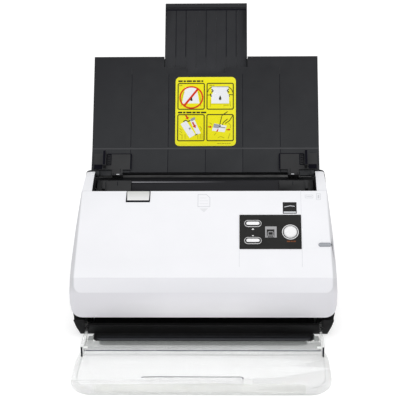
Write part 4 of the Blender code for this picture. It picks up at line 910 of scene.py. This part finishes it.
def make_guide_marks(side, name):
    """One upper guide's grip ribs, shadow lines and pale register mark, and the tick of the lower one."""
    body = name + "_guide"
    x_low, x_high, foot, _, wall_out = edges(name + "_paper_guide", LOWER_CHUTE)
    inner = max(abs(x_low), abs(x_high)) - GUIDE_WIDTH
    out = wall_out - GUIDE_WALL

    def box(x_near, x_far, low, high, radius=0.2):
        x0, x1 = sorted((side * (inner + x_near), side * (inner + x_far)))
        return rounded_box(x0, x1, foot + low, foot + high, radius, 2)

    def mark(label, shapes, material, proud):
        plate(f"{name}_guide_{label}", shapes, LOWER_CHUTE, out - MARK, out + proud, material, body)

    ribs = [box(27.4, 30.4, rise, rise + 1.0) for rise in (16.0, 18.4, 20.8, 23.2, 25.6)]
    mark("grip_ribs", ribs, BAR_BLACK, 0.35)
    outer, hollow = box(25.8, 31.8, 13.6, 29.0, 0.5), box(26.8, 30.8, 14.6, 28.0, 0.3)
    mark("grip_rim", [(outer, hollow)], BAR_BLACK, 0.5)
    mark("shadow_lines", [box(0.1, 1.9, 8.0, 29.6), box(1.9, 31, 28.9, 29.7), box(37, 47.5, 8.2, 14.5)],
         BAR_BLACK, 0.08)
    # Painted shadow on the top of the guide's wall.
    dark_line(name + "_guide_wall_top", [box(32.4, 35.6, 10.0, 29.5)], LOWER_CHUTE, wall_out, 0.1, body)
    mark("register_mark", [box(15.2, 18.9, 0.5, 1.3)], PAPER_WHITE, 0.12)
    mark("register_tick", [box(13.8, 14.3, 3.6, 8.6), box(11.4, 12.0, 0.4, 2.8), box(22.6, 23.2, 0.4, 2.8)],
         BAR_BLACK, 0.08)
    lower = edges(name + "_throat_guide", LOWER_PATH)
    lower_out = lower[4] - THROAT_GUIDE_WALL
    middle = side * (inner + 17)
    tick = upright(middle, lower[3] - 7, lower[3] - 1.5, 0.6)
    dark_line(f"{name}_throat_tick", [tick], LOWER_PATH, lower_out, 0.1, name + "_lower_guide")


def make_chute_lines():
    """A painted highlight along the bend between the chute's two panels, and painted shadow in its grooves.
    """
    low_u, wall_out = edges("left_paper_guide", LOWER_CHUTE)[2::2]
    half = reach("paper_chute", ACROSS)[1] - 0.6
    face_out = wall_out - CHUTE_BELOW_WALL
    bend = low_u + CHUTE_BEND
    # A painted highlight along the bend.
    band = rounded_box(-half, half, bend - 2.3, bend - 0.5, 0.2, 2)
    plate("chute_bend", [band], LOWER_CHUTE, face_out - MARK, face_out + MARK, CREASE_HIGHLIGHT, "chute")
    spots = [GROOVE_PITCH * step for step in range(-2, 3)]
    # Painted shadow in the grooves.
    low_lines = [upright(x, low_u + 4, bend - 2.6, GROOVE) for x in spots]
    dark_line("chute_low_grooves", low_lines, LOWER_CHUTE, face_out, 0.03, "chute")
    label_out = LABEL_OUT - 0.5
    foot, top = LABEL_FOOT - 1.2, LABEL_TOP + 4
    up_lines = [upright(x, foot, top, GROOVE) for x in spots if x]
    dark_line("chute_up_grooves", up_lines, CHUTE, label_out, 0.03, "chute")


def make_extension_lines():
    """Painted shadow under the cap at the extension's free end, and in the fine grooves below it."""
    x_low, x_high, _, top, _ = edges("chute_extension", CHUTE)
    below = top - 8
    face_out = max(corner.dot(CHUTE.out) for corner in corners("chute_extension")
                   if corner.dot(CHUTE.up) < below)
    # Painted shadow under the cap.
    line = rounded_box(x_low + 1.2, x_high - 1.2, below - 1.7, below, 0.3, 2)
    dark_line("extension_cap_line", [line], CHUTE, face_out, 0.05, "extension")
    grooves = [upright(x, below - 66, below - 1.9, GROOVE) for x in (-39, -26.3, 0, 26.3, 39)]
    dark_line("extension_grooves", grooves, CHUTE, face_out, 0.03, "extension")


def make_throat_glint():
    """The light that the throat's floor throws back beside the right guide."""
    left = -reach("right_throat_guide", ACROSS)[0] + 0.5
    _, _, _, top, out = edges("throat_plate", LOWER_PATH)
    glint = rounded_box(left, left + 120, top - 3.4, top - 2.1, 0.3, 2)
    plate("throat_glint", [glint], LOWER_PATH, out - MARK, out + MARK, GLINT, "root")


make_extension_lines()
make_chute_lines()
make_guide_marks(-1, "left")
make_guide_marks(1, "right")
make_throat_glint()


# ---- The clear tray ----

TRAY_HALF, TRAY_NOSE = edges("output_tray", TOP)[1:3]
TRAY_STEP = TRAY_NOSE + 107.4
TRAY_SIDE_LINE = ((7, 93.4), (6, 46), (8, 30), (14, 17), (32, 7))  # from the side and from the nose
RIDGE = TRAY_NOSE + 37.4
ARM_FRONT = TRAY_NOSE + 95.4
# The painted shadows beside the arms run from ARM_SHADOW_FRONT to ARM_SHADOW_REAR.
ARM_SHADOW_FRONT = TRAY_NOSE + 138.2
ARM_SHADOW_REAR = TRAY_NOSE + 152
STEP_HEIGHT = 5.2
PLATE_HEIGHT = 3.6


def tray_mark(name, shapes, material, height, proud=0.12):
    """A line or tint on the tray at a height above the desk."""
    plate(name, shapes, TOP, height - 0.1, height + proud, material, "tray")


def make_tray_marks():
    """Painted shade on the clear tray's step, ridge, sides, rear, lip and arms, and a painted highlight."""
    half = TRAY_HALF - 8.6
    # Painted shade along the tray's step, ridge and sides.
    step = stroke([(-half, TRAY_STEP - 1), (half, TRAY_STEP - 1)], 1.9)
    tray_mark("tray_step_line", [step], STEP_LINE, STEP_HEIGHT)
    front = stroke([(-half, TRAY_STEP - 10.7), (half, TRAY_STEP - 10.7)], 1.1)
    tray_mark("tray_step_foot", [front], SOFT_LINE, STEP_HEIGHT)
    ridge = [(-66.5, RIDGE - 3.0), (-66, RIDGE - 1), (-64.5, RIDGE), (45, RIDGE), (46.6, RIDGE - 1),
             (47.4, RIDGE - 5)]
    tray_mark("tray_ridge_line", [stroke(ridge, 1.8)], RIDGE_LINE, 5)
    sides = [stroke([(side * (TRAY_HALF - inset), TRAY_NOSE + rise) for inset, rise in TRAY_SIDE_LINE], 0.8)
             for side in (-1, 1)]
    tray_mark("tray_side_lines", sides, SOFT_LINE, PLATE_HEIGHT)
    # A painted shadow toward the tray's rear.
    shadow_tint = rounded_box(-half, half, TRAY_STEP + 1.2, TRAY_STEP + 29.6, 2)
    tray_mark("tray_rear_shadow_tint", [shadow_tint], CLEAR_SHADOW_TINT, 3.45)
    shade_half = half - 14.5
    shade = rounded_box(-shade_half, shade_half, TRAY_STEP + 18, TRAY_STEP + 33, 7)
    tray_mark("tray_rear_shade", [shade], CLEAR_SHADE, 3.1)
    # Painted shade on the tray's front lip.
    lip = rounded_box(-TRAY_HALF + 30, TRAY_HALF - 30, TRAY_NOSE + 1, TRAY_NOSE + 22, 4)
    tray_mark("tray_lip_shade", [lip], CLEAR_LIP_SHADE, PLATE_HEIGHT)
    # A painted highlight on the tray.
    highlight_patch = rounded_box(48, 58, TRAY_NOSE + 22, TRAY_NOSE + 32.5, 1)
    tray_mark("tray_highlight_patch", [highlight_patch], CLEAR_HIGHLIGHT, PLATE_HEIGHT)
    # Painted shadow beside each arm.
    arm_shadows = [rounded_box(*sorted((side * half, side * (half - 6.5))), ARM_SHADOW_FRONT, ARM_SHADOW_REAR, 1.5)
            for side in (-1, 1)]
    tray_mark("tray_arm_webs", arm_shadows, WEB_SHADOW_TINT, 3.3)


def arm_piece(name, outline, face, low, high, material):
    """A thin piece on one of the tray's arms."""
    plate(name, [outline], face, low, high, material, "tray")


def make_arm_marks(side, name):
    """Painted shade down an arm's front end, a painted highlight across its top and painted highlights along
    it.
    """
    arm = sorted((side * (TRAY_HALF - 8.2), side * (TRAY_HALF - 4.6)))
    front = ARM_FRONT
    # Painted shade down the clear arm's front end.
    edge = rounded_box(arm[0] + 0.8, arm[1] - 0.8, 1.6, 14.6, 0.3, 2)
    arm_piece(name + "_arm_edge", edge, FRONT, -front - 0.2, 0.35 - front, BAR_BLACK)
    # A painted highlight across the arm's top.
    top_glint_x = sorted((side * (TRAY_HALF - 13.5), side * (TRAY_HALF - 5)))
    top_glint = rounded_box(*top_glint_x, front + 0.3, front + 2.6, 0.5, 2)
    arm_piece(name + "_arm_top_glint", top_glint, TOP, 13.2, 14.6, CLEAR_HIGHLIGHT)
    web = [(front + 1, 3), (front + 44, 3), (front + 44, 9), (front + 1, 13)]
    inner = side * (TRAY_HALF - 8.3)
    arm_piece(name + "_arm_web", web, RIGHT, inner - 0.2, inner + 0.2, GUSSET)
    # Painted highlights along the arm's top edges.
    crest = [(-1.0, 14.6), (36.0, 12.4), (45.0, 11.2)]
    line = stroke([(front + u, height) for u, height in crest], 1.2)
    for label, depth in (("inner", 8.3), ("outer", 4.7)):
        x = side * (TRAY_HALF - depth)
        arm_piece(f"{name}_arm_crest_{label}", line, RIGHT, x - 0.25, x + 0.25, CLEAR_HIGHLIGHT)


def make_ledge_shade():
    """Painted shade on the low ledge in front of the base, darkest next to the base."""
    u_low = reach("base_tub", TOP.up)[0]
    shade_skin = rounded_box(-128.6, 128.6, u_low + 0.4, u_low + 15, 8.6)
    plate("ledge_shade_skin", [shade_skin], TOP, 2.85, 2.97, LEDGE_SHADE_FADE, "root")


make_tray_marks()
make_arm_marks(-1, "left")
make_arm_marks(1, "right")
make_ledge_shade()


# ---- Back, sides and underside ----

def back_plate(name, shapes, low, high, material, body="root"):
    """Flat shapes on the back."""
    plate(name, shapes, BACK, low, high, material, body)


def make_back():
    """Screws, a plain rating plate without lettering, and what shows inside the two ports."""
    back = reach("rear_housing", BACK.out)[1]
    half = reach("rear_housing", ACROSS)[1]
    low, high = reach("rear_housing", UP)
    for side in (-1, 1):
        for number, height in enumerate((low + 12, high - 44)):
            screw(f"back_screw_{number + 1}_{'left' if side < 0 else 'right'}", BACK, side * (half - 16),
                  height, back, 3.2, "root")
    usb = edges("usb_port", BACK)
    tongue = rounded_box(usb[0] + 3.2, usb[1] - 3.2, usb[2] + 5.2, usb[3] - 2.4, 0.3, 2)
    back_plate("usb_tongue", [tongue], usb[4] - 9, usb[4] - 1.5, PAPER_WHITE)
    jack = edges("dc_jack", BACK)
    pin_x, pin_u = (jack[0] + jack[1]) / 2, (jack[2] + jack[3]) / 2
    pin = disc(pin_x, pin_u, 0.9, 20)
    back_plate("jack_pin", [pin], jack[4] - 11, jack[4] - 1.5, SOCKET_METAL)
    plate_left, plate_foot = 46 - half, low + 12
    label = rounded_box(plate_left, plate_left + 62, plate_foot, plate_foot + 30, 1.5)
    back_plate("rating_plate", [label], back - MARK, back + 0.15, STICKER_WHITE)
    rows = []
    for number in range(5):
        row_u = plate_foot + 4 + 5 * number
        rows += line_of_print(plate_left + 4, plate_left + 56 - 7 * (number % 3), row_u, 1.5)
    back_plate("rating_rows", rows, back, back + 0.22, INK_GREY)


def make_rocker_marks():
    """A raised bar and ring on the rocker's two ends."""
    x_low, x_high, u_low, u_high, out = edges("power_rocker", BACK)
    middle = (x_low + x_high) / 2
    bar = rounded_box(middle - 0.5, middle + 0.5, u_high - 5, u_high - 2, 0.3, 2)
    back_plate("rocker_bar", [bar], out - 1.2, out + 0.05, PAPER_WHITE, "rocker")
    ring = (disc(middle, u_low + 3.8, 1.7, 24), disc(middle, u_low + 3.8, 1.0, 24))
    back_plate("rocker_ring", [ring], out - 1.9, out - 0.9, PAPER_WHITE, "rocker")


def make_port_symbols():
    """Plain symbols beside the ports: a branching line and a dot between two bars."""
    back = reach("rear_housing", BACK.out)[1]
    usb = edges("usb_port", BACK)
    x, u = (usb[0] + usb[1]) / 2, usb[3] + 5
    fork = [
        stroke([(x, u - 2), (x, u + 3.4)], 0.6),
        stroke([(x, u - 0.4), (x + 2, u + 1), (x + 2, u + 2)], 0.6),
        stroke([(x, u - 1), (x - 2, u + 0.2), (x - 2, u + 1.2)], 0.6),
        disc(x, u - 2.4, 0.9, 16),
    ]
    jack = edges("dc_jack", BACK)
    x, u = (jack[0] + jack[1]) / 2, jack[3] + 4.4
    supply = [
        box_by(x, u, -3, 3, 1, 1.6), box_by(x, u, -3, -1.4, -0.6, 0), box_by(x, u, -0.8, 0.8, -0.6, 0),
        box_by(x, u, 1.4, 3, -0.6, 0),
    ]
    back_plate("port_symbols", [*fork, *supply], back - MARK, back + 0.1, PANEL_PRINT)


def make_underside():
    """Base screws and a plain plate on the underside."""
    floor = reach("base_tub", UP)[0]
    front, rear = reach("base_tub", TOP.up)
    base_under = -(floor + 1.7)
    for x in (-96, 96):
        for y in (front + 40, rear - 16):
            name = f"base_screw_{'left' if x < 0 else 'right'}_{'front' if y < 0 else 'rear'}"
            screw(name, BELOW, -x, y, base_under, 3.0, "root")
    plate_low = (front + rear) / 2 - 16
    label = rounded_box(-36, 36, plate_low, plate_low + 34, 1.5)
    plate("base_plate_label", [label], BELOW, base_under - MARK, base_under + 0.12, STICKER_WHITE, "root")


make_back()
make_rocker_marks()
make_port_symbols()
make_underside()


# ---- Floor, light and camera ----

def make_floor():
    """A wide pale floor."""
    half = 6.0
    low = CAD_BOX[0][2] - 0.1 * MM
    mesh = bpy.data.meshes.new("floor")
    mesh.from_pydata([(-half, -half, low), (half, -half, low), (half, half, low), (-half, half, low)], [],
                     [(0, 1, 2, 3)])
    mesh.materials.append(finish("pale_floor", (0.50, 0.50, 0.50), 0.55, grain=40, depth=0.02, tone=0.01,
                                 Emission_Color=(1, 1, 1, 1), Emission_Strength=0.62))
    floor = bpy.data.objects.new("floor", mesh)
    bpy.context.scene.collection.objects.link(floor)


def area_light(name, place, target, size, power):
    """A soft box that faces a target."""
    light = bpy.data.lights.new(name, "AREA")
    light.shape = "RECTANGLE"
    light.size, light.size_y = size
    light.energy = power
    lamp = bpy.data.objects.new(name, light)
    lamp.location = place
    lamp.rotation_euler = (Vector(target) - Vector(place)).to_track_quat("-Z", "Y").to_euler()
    bpy.context.scene.collection.objects.link(lamp)


LENS = 129.2
CAMERA_PLACE = (0.0465, -1.6414, 0.7156)
CAMERA_DOWN = 18.94
CAMERA_PAN = 1.776
CAMERA_ROLL = -0.663


def make_camera():
    """The camera stands in front, a little above and to the right, with a long lens."""
    data = bpy.data.cameras.new("camera")
    data.sensor_width = 36
    data.lens = LENS
    camera = bpy.data.objects.new("camera", data)
    turn = Matrix.Rotation(math.radians(CAMERA_PAN), 3, "Z")
    turn = turn @ Matrix.Rotation(math.radians(90 - CAMERA_DOWN), 3, "X")
    turn = turn @ Matrix.Rotation(math.radians(CAMERA_ROLL), 3, "Z")
    camera.matrix_world = Matrix.Translation(CAMERA_PLACE) @ turn.to_4x4()
    bpy.context.scene.collection.objects.link(camera)
    bpy.context.scene.camera = camera


WORLD_LIGHT = 0.82


def make_world():
    """An even white surround."""
    world = bpy.data.worlds.new("studio")
    world.use_nodes = True
    world.node_tree.nodes["Background"].inputs["Color"].default_value = (1, 1, 1, 1)
    world.node_tree.nodes["Background"].inputs["Strength"].default_value = WORLD_LIGHT
    bpy.context.scene.world = world


make_floor()
make_world()
area_light("top_softbox", (0.2, -0.5, 1.7), (0, 0, 0.1), (1.6, 1.2), 6)
area_light("front_softbox", (-0.9, -1.6, 0.7), (0, 0, 0.1), (0.9, 0.9), 2)
area_light("right_softbox", (1.5, -0.4, 0.8), (0, 0, 0.15), (0.8, 1.0), 1.0)
make_camera()
bpy.context.scene.view_settings.view_transform = "Standard"
